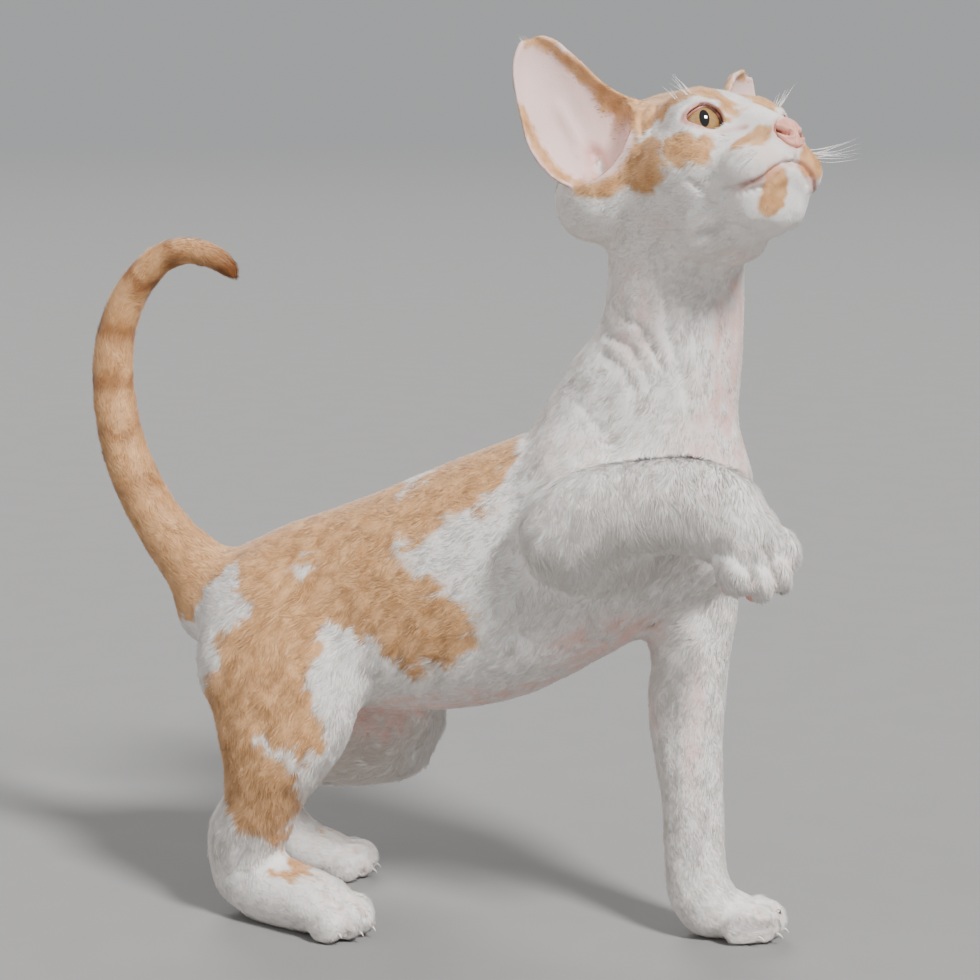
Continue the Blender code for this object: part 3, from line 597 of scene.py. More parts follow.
def markings(points, normals, nodes):
    """Ginger, dark rings, thin hair and the ears' hollows at points of the skin, each from 0 to 1."""
    body = in_body(points)
    rough = [ripple(body, 11, seed) * 1.5 + ripple(body, 4, seed + 1) * 0.9 for seed in (1, 3)]
    side = body[:, [0, 2]] + np.stack(rough, 1)
    right = np.minimum(inside(side, SADDLE), -inside(side, RUMP))
    right = np.minimum(right, -inside(side, SPOT))
    right = np.minimum(right, -inside(side, BACK_NOTCH))
    right = np.maximum(right, inside(side, FOOT_PATCH))
    left = np.maximum(inside(side, SADDLE_LEFT), inside(side, ANKLE_LEFT))
    to_right = smooth_step(-body[:, 1], -5, 5)
    coat = left * (1 - to_right) + right * to_right

    head = in_head(points)
    face = head + 0.5 * np.stack([rough[0], rough[1], -rough[0]], 1)
    ovals = np.maximum(in_ovals(face, EYE_PATCH + CROWN + BROW + NOSE_SIDE + CHIN + PAD_LEFT),
                       in_ovals(face * (1, -1, 1), CROWN + BROW + EYE_PATCH))
    blaze = 6 - np.abs(head[:, 1] + 1) - 0.25 * np.abs(head[:, 0] - 12) + 0.4 * rough[0]
    ovals = np.where(head[:, 2] > -16, np.minimum(ovals, -blaze), ovals)
    on_head = (body[:, 2] > 262) & (body[:, 0] > 0)
    coat = np.where(on_head, ovals, coat)
    on_ear = np.isin(nodes, [FLESH.index("ear_right"), FLESH.index("ear_left")])
    coat = np.where(on_ear, 9, coat)

    reach, away = along_tail(body)
    on_tail = (away < 24) & (body[:, 0] < -108) & (body[:, 2] > 118)
    coat = np.where(on_tail & ((reach < 175) | (inside(side, RUMP) < 0)), 9, coat)
    wavy = reach + 1.5 * ripple(body, 9, 5)
    rings = [power * bump(wavy - place, width * 0.8) for place, width, power in RINGS]
    ring = np.where(on_tail, np.max(rings, axis=0), 0)
    bare = [power * smooth_step(in_ovals(body, [(middle, radii)]), 0, 12) for middle, radii, power in BARE]
    patchy = (1 + 0.35 * ripple(body * (1, 1, 0.5), 5, 9) + 0.25 * rough[1]).clip(0, 1.5)
    bare = (np.max(bare, axis=0) * patchy).clip(0, 1)
    return smooth_step(coat, -1.3, 1.3), ring, bare, ear_hollow(points, normals, nodes)


def give_colour(mesh, name, values):
    """Keeps four values for each point of a mesh as a colour attribute."""
    layer = mesh.color_attributes.new(name, "FLOAT_COLOR", "POINT")
    layer.data.foreach_set("color", np.stack(values, 1).astype(np.float32).ravel())


# Where the naked skin is flushed: lips, lids, tear line, the ears' folds and the clefts; and where painted
# shade darkens its creases: the mouth's groove, the lid margins and the ear canal.
def naked(points, hollow):
    """Flush of the naked skin, and the painted shade that darkens its creases, at points, each from 0 to 1.
    """
    body, head = in_body(points), in_head(points)
    face = head.copy()
    face[:, 1] = -np.abs(face[:, 1])
    mouth = path_distance(face, MOUTH)
    lids = np.min([np.linalg.norm(face - place, axis=1) for place in lid_ring(RIGHT, 11.0)[::2]], axis=0)
    ears = [path_distance(face, path) for path, height, width in EAR_FOLDS]
    clefts = np.min([cleft_distance(paw, body) for paw in PAWS], axis=0)
    flush = 0.8 * bump(mouth, 2.0) * smooth_step(face[:, 0], 8, 22)
    flush = np.maximum(flush, 0.35 * bump(np.linalg.norm(head - (27, -11, -25), axis=1), 6))
    flush = np.maximum(flush, 0.8 * bump(path_distance(face, LIP_CLEFT), 1.5))
    flush = np.maximum(flush, 0.85 * smooth_step(-lids, -2.9, -1.2))
    flush = np.maximum(flush, 0.75 * bump(path_distance(face, TEAR_LINE), 1.6))
    flush = np.maximum(flush, 0.75 * bump(np.linalg.norm(face - NOSE_MIDDLE, axis=1) - 6.5, 1.4))
    flush = np.maximum(flush, hollow * 0.8 * bump(ears[1], 3.4))
    flush = np.maximum(flush, hollow * 0.7 * bump(ears[2], 2.2))
    flush = np.maximum(flush, 0.6 * bump(clefts, 1.3))
    # Painted shade in the mouth's groove, deepest toward its corners.
    dark = 0.95 * bump(mouth, 0.9) * (0.6 + 0.4 * smooth_step(-face[:, 0], -27, -18))
    # Painted shade along the lid margins, where the lids meet the eyeball.
    dark = np.maximum(dark, 0.75 * smooth_step(-lids, -0.9, -0.3))
    # Painted shade down the ear canal.
    dark = np.maximum(dark, hollow * 0.5 * bump(ears[1], 1.6))
    return flush, dark


marks = markings(points, normals, nodes)
give_colour(mesh, "marks", marks)
flush, dark = naked(points, marks[3])
# The tones keep the naked skin's flush and its painted shade.
give_colour(mesh, "tones", (flush, dark, np.zeros(len(points)), np.ones(len(points))))

PINK_SKIN = (0.74, 0.38, 0.31, 1)
EAR_SKIN = (0.84, 0.61, 0.57, 1)
LIP_PINK = (0.62, 0.24, 0.18, 1)
# The brown of the painted shade in the naked skin's creases: the mouth's groove, the lid margins and the ear
# canal.
PAINTED_SHADE_BROWN = (0.10, 0.045, 0.035, 1)
WHITE_HAIR = (0.86, 0.815, 0.775, 1)
PALE_GINGER = (0.74, 0.42, 0.20, 1)
DEEP_GINGER = (0.50, 0.235, 0.085, 1)
RUST = (0.24, 0.085, 0.022, 1)


def coat_colours(start, tint):
    """White, ginger and ring colours from the marks, with the given share of deep ginger."""
    layer = start.node("Attribute", {"attribute_name": "marks"})
    parts = start.node("SeparateColor", inputs={0: layer})
    ginger = Socket(start.tree, parts.output.node.outputs[0])
    ring = Socket(start.tree, parts.output.node.outputs[1])
    bare = Socket(start.tree, parts.output.node.outputs[2])
    hollow = Socket(start.tree, layer.output.node.outputs["Alpha"])
    tan = tint.mix(PALE_GINGER, DEEP_GINGER)
    return ring.mix(ginger.mix(WHITE_HAIR, tan), RUST), bare, hollow


def skin_finish(start):
    """Down over pink skin, which shows where the hair is thin, with painted shade in the creases of the naked
    skin.
    """
    places = start.node("TexCoord", output=3)
    mottle = start.node("TexNoise", inputs={"Vector": places, "Scale": 160.0, "Detail": 3.0})
    down, bare, hollow = coat_colours(start, mottle.step(0.35, 0.75))
    pores = start.node("TexNoise", inputs={"Vector": places, "Scale": 1500.0, "Detail": 2.0})
    rosy = mottle.step(0.2, 0.8).mix(PINK_SKIN, EAR_SKIN)
    flesh = (bare * 0.9).mix(down, rosy)
    tones = start.node("SeparateColor", inputs={0: start.node("Attribute", {"attribute_name": "tones"})})
    flush = Socket(start.tree, tones.output.node.outputs[0])
    dark = Socket(start.tree, tones.output.node.outputs[1])
    height = start.node("Bump", inputs={"Strength": 0.35, "Distance": 0.0003, "Height": pores + mottle})
    return {
        # Over the flush, painted shade darkens the mouth's groove, the lid margins and the ear canal.
        "Base Color": dark.mix(flush.mix(hollow.mix(flesh, EAR_SKIN), LIP_PINK), PAINTED_SHADE_BROWN),
        "Roughness": 0.5 + 0.2 * pores,
        "Normal": height,
    }


skin.data.materials.append(material("kitten_skin", skin_finish, Subsurface_Weight=0.15,
                                    Subsurface_Scale=0.002, Specular_IOR_Level=0.35))
mesh.shade_smooth()
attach(skin, "root")
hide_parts(*FLESH)

# The lie of the coat: strokes that the hair follows, as lines in the kitten's frame or the head's.
BODY_STROKES = [
    [(74, -3, 300), (66, 0, 250), (56, 0, 215), (10, 0, 200), (-50, 0, 178), (-110, 0, 155)],
    [(96, -6, 285), (94, -2, 240), (98, 0, 200), (92, 0, 150), (40, 0, 112), (-50, 0, 92), (-70, 0, 90)],
    [(66, -34, 215), (40, -42, 190), (-20, -40, 150), (-70, -38, 130)],
    [(66, 34, 215), (40, 42, 190), (-20, 40, 150), (-70, 38, 130)],
    [(-70, -38, 150), (-84, -46, 110), (-90, -46, 75), (-96, -46, 50), (-108, -38, 28), (-104, -28, 10)],
    [(-45, -40, 125), (-62, -44, 95), (-80, -44, 70), (-84, -42, 48)],
    [(-112, -24, 24), (-88, -36, 18), (-60, -44, 14), (-40, -48, 6)],
    [(-70, 38, 150), (-60, 46, 110), (-44, 44, 80), (-60, 44, 64), (-100, 40, 58), (-122, 36, 50)],
    [(-122, 34, 50), (-118, 36, 28), (-100, 38, 16), (-70, 38, 12)],
    [(80, 30, 180), (80, 26, 140), (80, 18, 100), (82, 10, 60), (84, 6, 30), (92, 4, 18), (125, 3, 10)],
    [(60, -20, 200), (44, -48, 196), (44, -52, 180), (44, -50, 158)],
    [(50, -40, 206), (53, -62, 196), (55, -64, 178), (57, -58, 160)],
    [(64, -38, 209), (68, -62, 200), (71, -66, 182), (74, -58, 166)],
    [(80, -38, 212), (84, -62, 204), (88, -67, 188), (92, -60, 170)],
    [(98, -40, 210), (104, -62, 202), (109, -68, 186), (112, -62, 168), (114, -52, 150)],
    [(112, -36, 206), (122, -48, 196), (128, -48, 176), (130, -46, 154)],
    TAIL_LINE,
]
HEAD_STROKES = [
    [(31, 0, -12), (18, 0, -3), (4, 0, 8), (-14, 0, 24), (-36, 0, 27), (-62, 0, 6)],
    [(28, -9, -18), (14, -16, -14), (4, -26, -10), (-16, -32, -4), (-38, -34, -8)],
    [(28, 9, -18), (14, 16, -14), (4, 26, -10), (-16, 32, -4), (-38, 34, -8)],
    [(30, -6, -24), (18, -14, -28), (0, -20, -34), (-24, -28, -24), (-46, -30, -26)],
    [(30, 6, -24), (18, 14, -28), (0, 20, -34), (-24, 28, -24), (-46, 30, -26)],
    [(28, 0, -34), (22, 0, -48), (-4, 0, -50), (-30, 0, -46)],
    [(6, -14, 6), (-8, -20, 14), (-26, -24, 20), (-38, -32, 34), (-52, -50, 48)],
    [(6, 14, 6), (-8, 20, 14), (-26, 24, 20), (-38, 32, 34), (-52, 50, 48)],
    [(-46, -24, 8), (-58, -38, 6), (-60, -56, 26), (-50, -58, 50)],
    [(-46, 24, 8), (-58, 38, 6), (-60, 56, 26), (-50, 58, 50)],
]


def strokes():
    """Every stroke's stretches in the model's metres, as starts and ends."""
    paths = [[at(*place) for place in path] for path in BODY_STROKES]
    paths += [[at_head(*place) for place in path] for path in HEAD_STROKES]
    starts = [start for path in paths for start in path[:-1]]
    ends = [end for path in paths for end in path[1:]]
    return np.array(starts), np.array(ends)


lie = np.zeros_like(points)
for start, end in zip(*strokes()):
    along = end - start
    t = np.clip((points - start) @ along / (along @ along), 0, 1)
    away = np.linalg.norm(points - start - t[:, None] * along, axis=1) / MM
    lie += along / np.linalg.norm(along) / (away[:, None] + 3) ** 4


def unit(vectors):
    return vectors / np.maximum(np.linalg.norm(vectors, axis=-1, keepdims=True), 1e-12)


def flat_on(vectors, normals):
    """Vectors turned into the skin's plane, of length 1."""
    return unit(vectors - normals * (vectors * normals).sum(1, keepdims=True))


lie = flat_on(grow(flat_on(unit(lie), normals), edges, 14), normals)

# What the hair is like on each part: length and width in mm, tufts per square mm, how far it
# stands off the skin in degrees, and the height of its waves in mm
HAIR = {
    "head": (2.1, 0.36, 1.8, 16, 0.10),
    "ear": (1.7, 0.30, 2.0, 14, 0.05),
    "neck": (2.7, 0.42, 1.65, 13, 0.20),
    "torso": (3.0, 0.44, 1.5, 12, 0.25),
    "tail": (3.2, 0.42, 1.8, 14, 0.20),
    "thigh": (3.4, 0.46, 1.7, 14, 0.30),
    "shank": (4.2, 0.48, 1.8, 20, 0.40),
    "foot": (2.3, 0.36, 2.1, 14, 0.10),
    "upper_arm": (3.6, 0.46, 1.8, 15, 0.30),
    "forearm": (3.2, 0.44, 1.8, 14, 0.25),
    "forepaw": (2.4, 0.38, 2.1, 14, 0.12),
}
RAISED_LEG = {
    "upper_arm_right": (4.0, 0.46, 1.7, 13, 0.30),
    "forearm_right": (5.0, 0.44, 1.8, 13, 0.30),
    "forepaw_right": (3.4, 0.42, 1.9, 13, 0.20),
}


def hair_of(node):
    """The row of HAIR for a solid: its own, or that of the part whose name starts its name."""
    if node in RAISED_LEG:
        return RAISED_LEG[node]
    return next(values for part, values in HAIR.items() if node.startswith(part))


hair = np.array([hair_of(node) for node in FLESH])[nodes]
face = smooth_step(head[:, 0], -4, 22) * (nodes == FLESH.index("head"))
hair[:, 0] *= 1 - 0.5 * face
hair[:, 1] *= 1 - 0.25 * face
hair[:, 2] *= 1 + 0.25 * face
hair = grow(hair, edges, 10)
ginger, ring, bare, hollow = marks
hair[:, 0] *= 1 - 0.35 * bare
# Hair also thins where the skin is flushed and where painted shade darkens it.
hair[:, 2] *= (1 - 0.6 * bare) * (1 - hollow) * (1 - 0.9 * np.maximum(flush, dark))

# Hair leaves the eyes, lips and nose leather free.
lids = np.concatenate([lid_ring(side, 11.0) for side in (RIGHT, LEFT)])
from_lids = np.min([np.linalg.norm(head - place, axis=1) for place in lids[::2]], axis=0)
from_nose = np.linalg.norm((head - NOSE_MIDDLE) / (1, 1, 0.95), axis=1)
from_mouth = np.minimum(path_distance(head, MOUTH), path_distance(head, mirrored(MOUTH)))
hair[:, 2] *= smooth_step(from_lids, 1.0, 2.2) * smooth_step(from_nose, 6.6, 7.4)
hair[:, 2] *= smooth_step(from_mouth, 0.4, 1.1)
in_socket = np.min([np.linalg.norm(head - (EYE.x, side * EYE.y, EYE.z), axis=1) for side in (1, -1)], axis=0)
hair[:, 2] *= smooth_step(in_socket, 10.0, 10.4)

# The coat: short soft waved hair, as thin tapered tufts rooted in the skin that follow its lie.
# The skin's own unwrap tells each tuft where its patch of colour lies.
pick(skin)
bpy.ops.object.mode_set(mode="EDIT")
bpy.ops.mesh.select_all(action="SELECT")
bpy.ops.uv.smart_project(angle_limit=math.radians(70), island_margin=0.002)
bpy.ops.object.mode_set(mode="OBJECT")
mesh.uv_layers.active.name = "OFBake"
mesh.calc_loop_triangles()
triangles = read(mesh, "loop_triangles", "vertices", 3, np.int32)
corners = read(mesh, "loop_triangles", "loops", 3, np.int32)
unwrap = read(mesh.uv_layers["OFBake"], "data", "uv", 2)
sides = points[triangles]
areas = np.linalg.norm(np.cross(sides[:, 1] - sides[:, 0], sides[:, 2] - sides[:, 0]), axis=1) / 2 / MM**2
PATCH = 0.0015
# A tuft's faces: its root's two corners and ridge are points 0, 1 and 2, and its tip is point 3
TUFT_FACES = np.array([(0, 2, 1), (0, 1, 3), (1, 2, 3), (2, 0, 3)])
TUFT_POINTS = 4
ROOT_DEPTH = 0.25
FLOOR_GAP = 0.02 * MM


def tufts(name, parts, seed, where=None):
    """The hair of some parts: thin tapered tufts of three sides, rooted in the skin, as one piece."""
    chance = np.random.default_rng(seed)
    here = np.isin(nodes[triangles[:, 0]], [FLESH.index(part) for part in parts])
    if where is not None:
        here &= where
    expected = np.where(here, areas * hair[triangles, 2].mean(1), 0)
    reach = np.cumsum(expected)
    count = int(reach[-1])
    drawn = (np.arange(count) + chance.uniform(0, 1, count)) * (reach[-1] / count)
    chosen = np.minimum(np.searchsorted(reach, drawn), len(areas) - 1)
    mix = chance.dirichlet((1, 1, 1), count)
    blend = lambda values: (values[triangles[chosen]] * mix[:, :, None]).sum(1)
    root, up, way, kind = blend(points), unit(blend(normals)), blend(lie), blend(hair)
    colours = markings(root, up, nodes[triangles[chosen, 0]])
    patch = (unwrap[corners[chosen]] * mix[:, :, None]).sum(1)
    place = in_body(root)
    swirl = 0.22 * ripple(place, 16, 21) + 0.20 * ripple(place, 6, 22) + chance.normal(0, 0.15, count)
    side = np.cross(up, way)
    way = flat_on(way * np.cos(swirl)[:, None] + side * np.sin(swirl)[:, None], up)
    side = np.cross(up, way)
    wave = ripple(place, 9, 23)
    length = kind[:, 0] * (1 + 0.08 * wave + chance.normal(0, 0.16, count)).clip(0.45, 1.6)
    width = kind[:, 1] * chance.uniform(0.75, 1.25, count)
    lift = np.radians(kind[:, 3] * (1 + 0.12 * wave + chance.normal(0, 0.25, count)).clip(0.3, 2.2))
    bend = kind[:, 4] * (wave + chance.normal(0, 0.5, count))
    base = root - up * (ROOT_DEPTH * MM)
    half = side * (width / 2 * MM)[:, None]
    tip_high = length * np.sin(lift) * 0.55 * 1.25
    tip = root + way * (length * MM)[:, None] + up * (tip_high * MM)[:, None]
    tip = tip - side * (bend * 0.3 * MM)[:, None]
    places = np.stack([base - half, base + half, base + up * (width * 0.4 * MM)[:, None], tip], 1)
    places[:, :, 2] = np.maximum(places[:, :, 2], FLOOR_GAP)
    lean = way * (0.08 * wave)[:, None] + side * chance.normal(0, 0.14, (count, 1))
    facing = [up + lean - side * 0.4, up + lean + side * 0.4, up + lean, up + lean + way * 0.15]
    facing = unit(np.stack(facing, 1))

    corner_points = (TUFT_FACES.ravel()[None] + np.arange(count)[:, None] * TUFT_POINTS).ravel()
    shape = bpy.data.meshes.new(name)
    shape.vertices.add(count * TUFT_POINTS)
    shape.loops.add(len(corner_points))
    shape.polygons.add(len(corner_points) // 3)
    shape.vertices.foreach_set("co", places.astype(np.float32).ravel())
    shape.loops.foreach_set("vertex_index", corner_points.astype(np.int32))
    shape.polygons.foreach_set("loop_start", np.arange(0, len(corner_points), 3, dtype=np.int32))
    shape.update(calc_edges=True)
    shape.shade_smooth()
    shape.normals_split_custom_set_from_vertices(facing.reshape(-1, 3).tolist())

    along = np.array((0.0, 0.0, 0.0, 1.0))
    tint = 0.42 + 0.07 * wave + 0.08 * ripple(place, 3.5, 24) + chance.normal(0, 0.13, count)
    give_colour(shape, "marks", [np.repeat(value, TUFT_POINTS) for value in colours])
    strand = [np.tile(along, count), np.repeat(tint.clip(0, 1), TUFT_POINTS)]
    strand += [np.repeat(chance.uniform(0, 1, count), TUFT_POINTS), np.ones(count * TUFT_POINTS)]
    give_colour(shape, "strand", strand)
    layer = shape.uv_layers.new(name="OFBake")
    across = np.array((-1.0, 1.0, 0.0, 0.0))
    offset = np.stack([across, 2 * along - 1], 1) * PATCH
    spread = (patch[:, None] + offset[None]).reshape(-1, 2)[corner_points]
    layer.data.foreach_set("uv", spread.astype(np.float32).ravel())

    obj = bpy.data.objects.new(name, shape)
    bpy.context.scene.collection.objects.link(obj)
    shape.materials.append(coat_material)
    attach(obj, "root")


def coat_finish(start):
    """Hair, deeper at the root and lighter at the tip, and each tuft a little different."""
    strand = start.node("SeparateColor", inputs={0: start.node("Attribute", {"attribute_name": "strand"})})
    along = Socket(start.tree, strand.output.node.outputs[0])
    tint = Socket(start.tree, strand.output.node.outputs[1])
    own = Socket(start.tree, strand.output.node.outputs[2])
    coat, bare, hollow = coat_colours(start, (tint * 1.3 - 0.35 * along).step(0.1, 1.0))
    pale = own.mix((0.90, 0.87, 0.84, 1), (1.0, 0.99, 0.97, 1))
    shaded = start.node("Mix", {"data_type": "RGBA", "blend_type": "MULTIPLY"}, {0: 1.0, 6: coat, 7: pale}, 2)
    root = (bare * 0.6 * (1 - along)).mix(shaded, EAR_SKIN)
    return {"Base Color": root}


coat_material = material("kitten_coat", coat_finish, Roughness=0.62, Sheen_Weight=0.25,
                         Sheen_Roughness=0.5, Specular_IOR_Level=0.25)

COATS = [
    ("coat_head", ["head"], 1, None),
    ("coat_ears", ["ear_right", "ear_left"], 2, None),
    ("coat_neck", ["neck"], 3, None),
    ("coat_torso_right", ["torso"], 4, body[triangles[:, 0], 1] < 0),
    ("coat_torso_left", ["torso"], 10, body[triangles[:, 0], 1] >= 0),
    ("coat_tail", ["tail_base", "tail_middle", "tail_end"], 5, None),
    ("coat_hind_right", ["thigh_right", "shank_right", "foot_right"], 6, None),
    ("coat_hind_left", ["thigh_left", "shank_left", "foot_left"], 7, None),
    ("coat_fore_right", ["upper_arm_right", "forearm_right", "forepaw_right"], 8, None),
    ("coat_fore_left", ["upper_arm_left", "forearm_left", "forepaw_left"], 9, None),
]
for name, parts, seed, where in COATS:
    tufts(name, parts, seed, where)

# The eyes: amber balls with an upright oval pupil. Each is turned to its own gaze, with the
# cornea standing out over the iris, and lies behind the lids under a wet gloss.
EYE_RADIUS = 9.75
GAZES = {"right": (RIGHT, (0.892, -0.434, -0.049)), "left": (LEFT, (0.985, 0.138, -0.049))}
IRIS_REACH, PUPIL_ACROSS, PUPIL_UP = 0.56, 0.125, 0.22
CORNEA_RISE = 0.5
AMBER = (0.40, 0.24, 0.085, 1)
AMBER_DEEP = (0.15, 0.08, 0.028, 1)
EYE_WHITE = (0.34, 0.22, 0.17, 1)


def eye_finish(start):
    """Iris streaks round a black pupil, from the places on the ball that its own UV map gives."""
    flat = start.node("UVMap", {"uv_map": "Gaze"})
    parts = start.node("SeparateXYZ", inputs={0: flat})
    across = Socket(start.tree, parts.output.node.outputs[0]) - 0.5
    upward = Socket(start.tree, parts.output.node.outputs[1]) - 0.5
    out = (across * across + upward * upward).math("SQRT") * 2
    slit = ((across * across) * (4 / PUPIL_ACROSS**2) + (upward * upward) * (4 / PUPIL_UP**2)).math("SQRT")
    angle = upward.math("ARCTAN2", across)
    round_about = {0: angle.math("COSINE") * 9, 1: angle.math("SINE") * 9, 2: out * 3}
    spokes = start.node("CombineXYZ", inputs=round_about)
    streaks = start.node("TexNoise", inputs={"Vector": spokes, "Scale": 1.6, "Detail": 4.0})
    shade = (streaks.step(0.3, 0.75) * 0.6 + out.step(0.30, 0.58) * 0.7).step(0.0, 1.1)
    iris = shade.mix(AMBER, AMBER_DEEP)
    ball = out.step(IRIS_REACH - 0.02, IRIS_REACH + 0.03).mix(iris, EYE_WHITE)
    return {"Base Color": slit.step(0.93, 1.06).mix((0.004, 0.003, 0.003, 1), ball)}


eye_material = material("kitten_eye", eye_finish, Roughness=0.06, Coat_Weight=1.0, Coat_Roughness=0.02,
                        Specular_IOR_Level=0.6)
for side_name, (side, gaze) in GAZES.items():
    bpy.ops.object.select_all(action="DESELECT")
    bpy.ops.mesh.primitive_uv_sphere_add(segments=48, ring_count=36, radius=1.0)
    ball = bpy.context.object
    ball.name = ball.data.name = "eyeball_" + side_name
    places = read(ball.data, "vertices", "co", 3).astype(float)
    tilt = np.arccos(places[:, 2].clip(-1, 1))
    spin = np.arctan2(places[:, 1], places[:, 0])
    rounds = EYE_RADIUS + CORNEA_RISE * smooth_step(-tilt, -math.radians(50), -math.radians(18))
    ahead = Vector(gaze).normalized()
    beside = Vector((0, 0, 1)).cross(ahead).normalized()
    above = ahead.cross(beside)
    frame_of_eye = np.array((beside, above, ahead))
    middle = np.array((EYE.x, side * EYE.y, EYE.z))
    in_place = (places * rounds[:, None]) @ frame_of_eye + middle
    set_points(ball.data, np.array([at_head(*place) for place in in_place]))
    reach = tilt / math.pi
    flat = np.stack([0.5 + reach * np.cos(spin), 0.5 + reach * np.sin(spin)], 1)
    ball.data.uv_layers[0].name = "Gaze"
    loops = read(ball.data, "loops", "vertex_index", 1, np.int32)
    ball.data.uv_layers["Gaze"].data.foreach_set("uv", flat[loops].astype(np.float32).ravel())
    ball.data.shade_smooth()
    ball.data.materials.append(eye_material)
    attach(ball, "root")
    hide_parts("eye_" + side_name)

# The lid rims: a narrow moist roll of dark pink skin round each opening, against the eyeball, mottled with a
# brown that is painted shade of the lid margin.
# Each is a ring laid along the opening's line.
RIM_REACH, RIM_THICK, RIM_POINTS = 10.35, 0.55, 64
# The rim's brown is painted shade of the lid margin; its pink is the rim's own colour.
RIM_SHADE_BROWN = (0.17, 0.075, 0.055, 1)
RIM_PINK = (0.46, 0.20, 0.16, 1)
rim_material = material("lid_rim", lambda start: {
    "Base Color": start.node("TexNoise", inputs={
        "Vector": start.node("TexCoord", output=3), "Scale": 260.0,
    }).step(0.35, 0.65).mix(RIM_SHADE_BROWN, RIM_PINK),
}, Roughness=0.25, Coat_Weight=0.6)
for side_name, (side, gaze) in GAZES.items():
    bpy.ops.object.select_all(action="DESELECT")
    bpy.ops.mesh.primitive_torus_add(
        major_segments=RIM_POINTS, minor_segments=8, major_radius=1.0, minor_radius=0.1,
    )
    rim = bpy.context.object
    rim.name = rim.data.name = "lid_rim_" + side_name
    places = read(rim.data, "vertices", "co", 3).astype(float)
    angle = np.arctan2(places[:, 1], places[:, 0]) % math.tau
    number = np.round(angle / math.tau * RIM_POINTS).astype(int) % RIM_POINTS
    out = (np.hypot(places[:, 0], places[:, 1]) - 1) / 0.1
    high = places[:, 2] / 0.1
    line = lid_ring(side, RIM_REACH, RIM_POINTS)
    middle = np.array((EYE.x, side * EYE.y, EYE.z))
    ahead = unit(line - middle)
    along = unit(np.roll(line, -1, 0) - np.roll(line, 1, 0))
    beside = unit(np.cross(along, ahead))
    in_place = line[number] + RIM_THICK * (out[:, None] * beside[number] + high[:, None] * ahead[number])
    set_points(rim.data, np.array([at_head(*place) for place in in_place]))
    pick(rim)
    bpy.ops.object.mode_set(mode="EDIT")
    bpy.ops.mesh.select_all(action="SELECT")
    bpy.ops.mesh.normals_make_consistent(inside=False)
    bpy.ops.object.mode_set(mode="OBJECT")
    rim.data.shade_smooth()
    rim.data.materials.append(rim_material)
    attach(rim, "root")

# The nose leather: naked salmon-pink skin, cleft down the middle, with two comma-shaped nostrils.
# It is melted out of the nose's solid like the skin, and the nostrils are pressed in.
NOSTRIL = [(38, -2.4, -16.6), (37, -4.2, -16.2), (34, -6.0, -14.6)]
NOSE_CLEFT = [(38, 0, -13), (38, 0, -18), (35, 0, -22)]
nose = copy_of("nose")
nose.name = nose.data.name = "nose_leather"
apply(nose, "REMESH", mode="VOXEL", voxel_size=0.3 * MM)
apply(nose, "SMOOTH", factor=0.5, iterations=14)
places = in_head(read(nose.data, "vertices", "co", 3).astype(float))
outward = read(nose.data, "vertex_normals", "vector", 3).astype(float) @ np.array(head_turn)
front = smooth_step(outward[:, 0], 0.0, 0.4)


def seen_from_ahead(path):
    """The distance to a path as it is seen along the nose, whatever the depth."""
    return path_distance(places * (0, 1, 1), [(0, y, z) for x, y, z in path])


nostrils = np.minimum(seen_from_ahead(NOSTRIL), seen_from_ahead(mirrored(NOSTRIL)))
hole = bump(nostrils, 0.85) * front
places += outward * 0.35
places[:, 0] -= 2.6 * hole
places += outward * (0.35 * bump(nostrils - 1.7, 0.6) * front)[:, None]
places[:, 0] -= 0.5 * bump(seen_from_ahead(NOSE_CLEFT), 0.45) * front
set_points(nose.data, np.array([at_head(*place) for place in places]))
# The nostrils' depth, where the leather's finish paints shade.
give_colour(nose.data, "tones", (hole, np.ones(len(hole)), np.ones(len(hole)), np.ones(len(hole))))
NOSE_PINK = (0.74, 0.33, 0.24, 1)
NOSE_PALE = (0.82, 0.45, 0.36, 1)
# The dark red of the painted shade down in the nostrils.
NOSTRIL_SHADE = (0.16, 0.035, 0.02, 1)


def nose_finish(start):
    """Pebbled moist leather, with painted shade, a dark red, down in the nostrils."""
    places = start.node("TexCoord", output=3)
    pebbles = start.node("TexVoronoi", inputs={"Vector": places, "Scale": 1600.0})
    mottle = start.node("TexNoise", inputs={"Vector": places, "Scale": 240.0, "Detail": 3.0})
    tones = start.node("SeparateColor", inputs={0: start.node("Attribute", {"attribute_name": "tones"})})
    deep = Socket(start.tree, tones.output.node.outputs[0])
    skin_colour = mottle.step(0.35, 0.7).mix(NOSE_PINK, NOSE_PALE)
    return {
        # Painted shade darkens the leather down in the nostrils.
        "Base Color": deep.step(0.25, 0.8).mix(skin_colour, NOSTRIL_SHADE),
        "Roughness": 0.32 + 0.2 * mottle,
        "Normal": start.node("Bump", inputs={"Strength": 0.5, "Distance": 0.00015, "Height": pebbles}),
    }


nose.data.materials.append(material("nose_leather", nose_finish, Subsurface_Weight=0.1,
                                    Subsurface_Scale=0.001, Coat_Weight=0.15))
nose.data.shade_smooth()
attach(nose, "root")
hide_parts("nose")

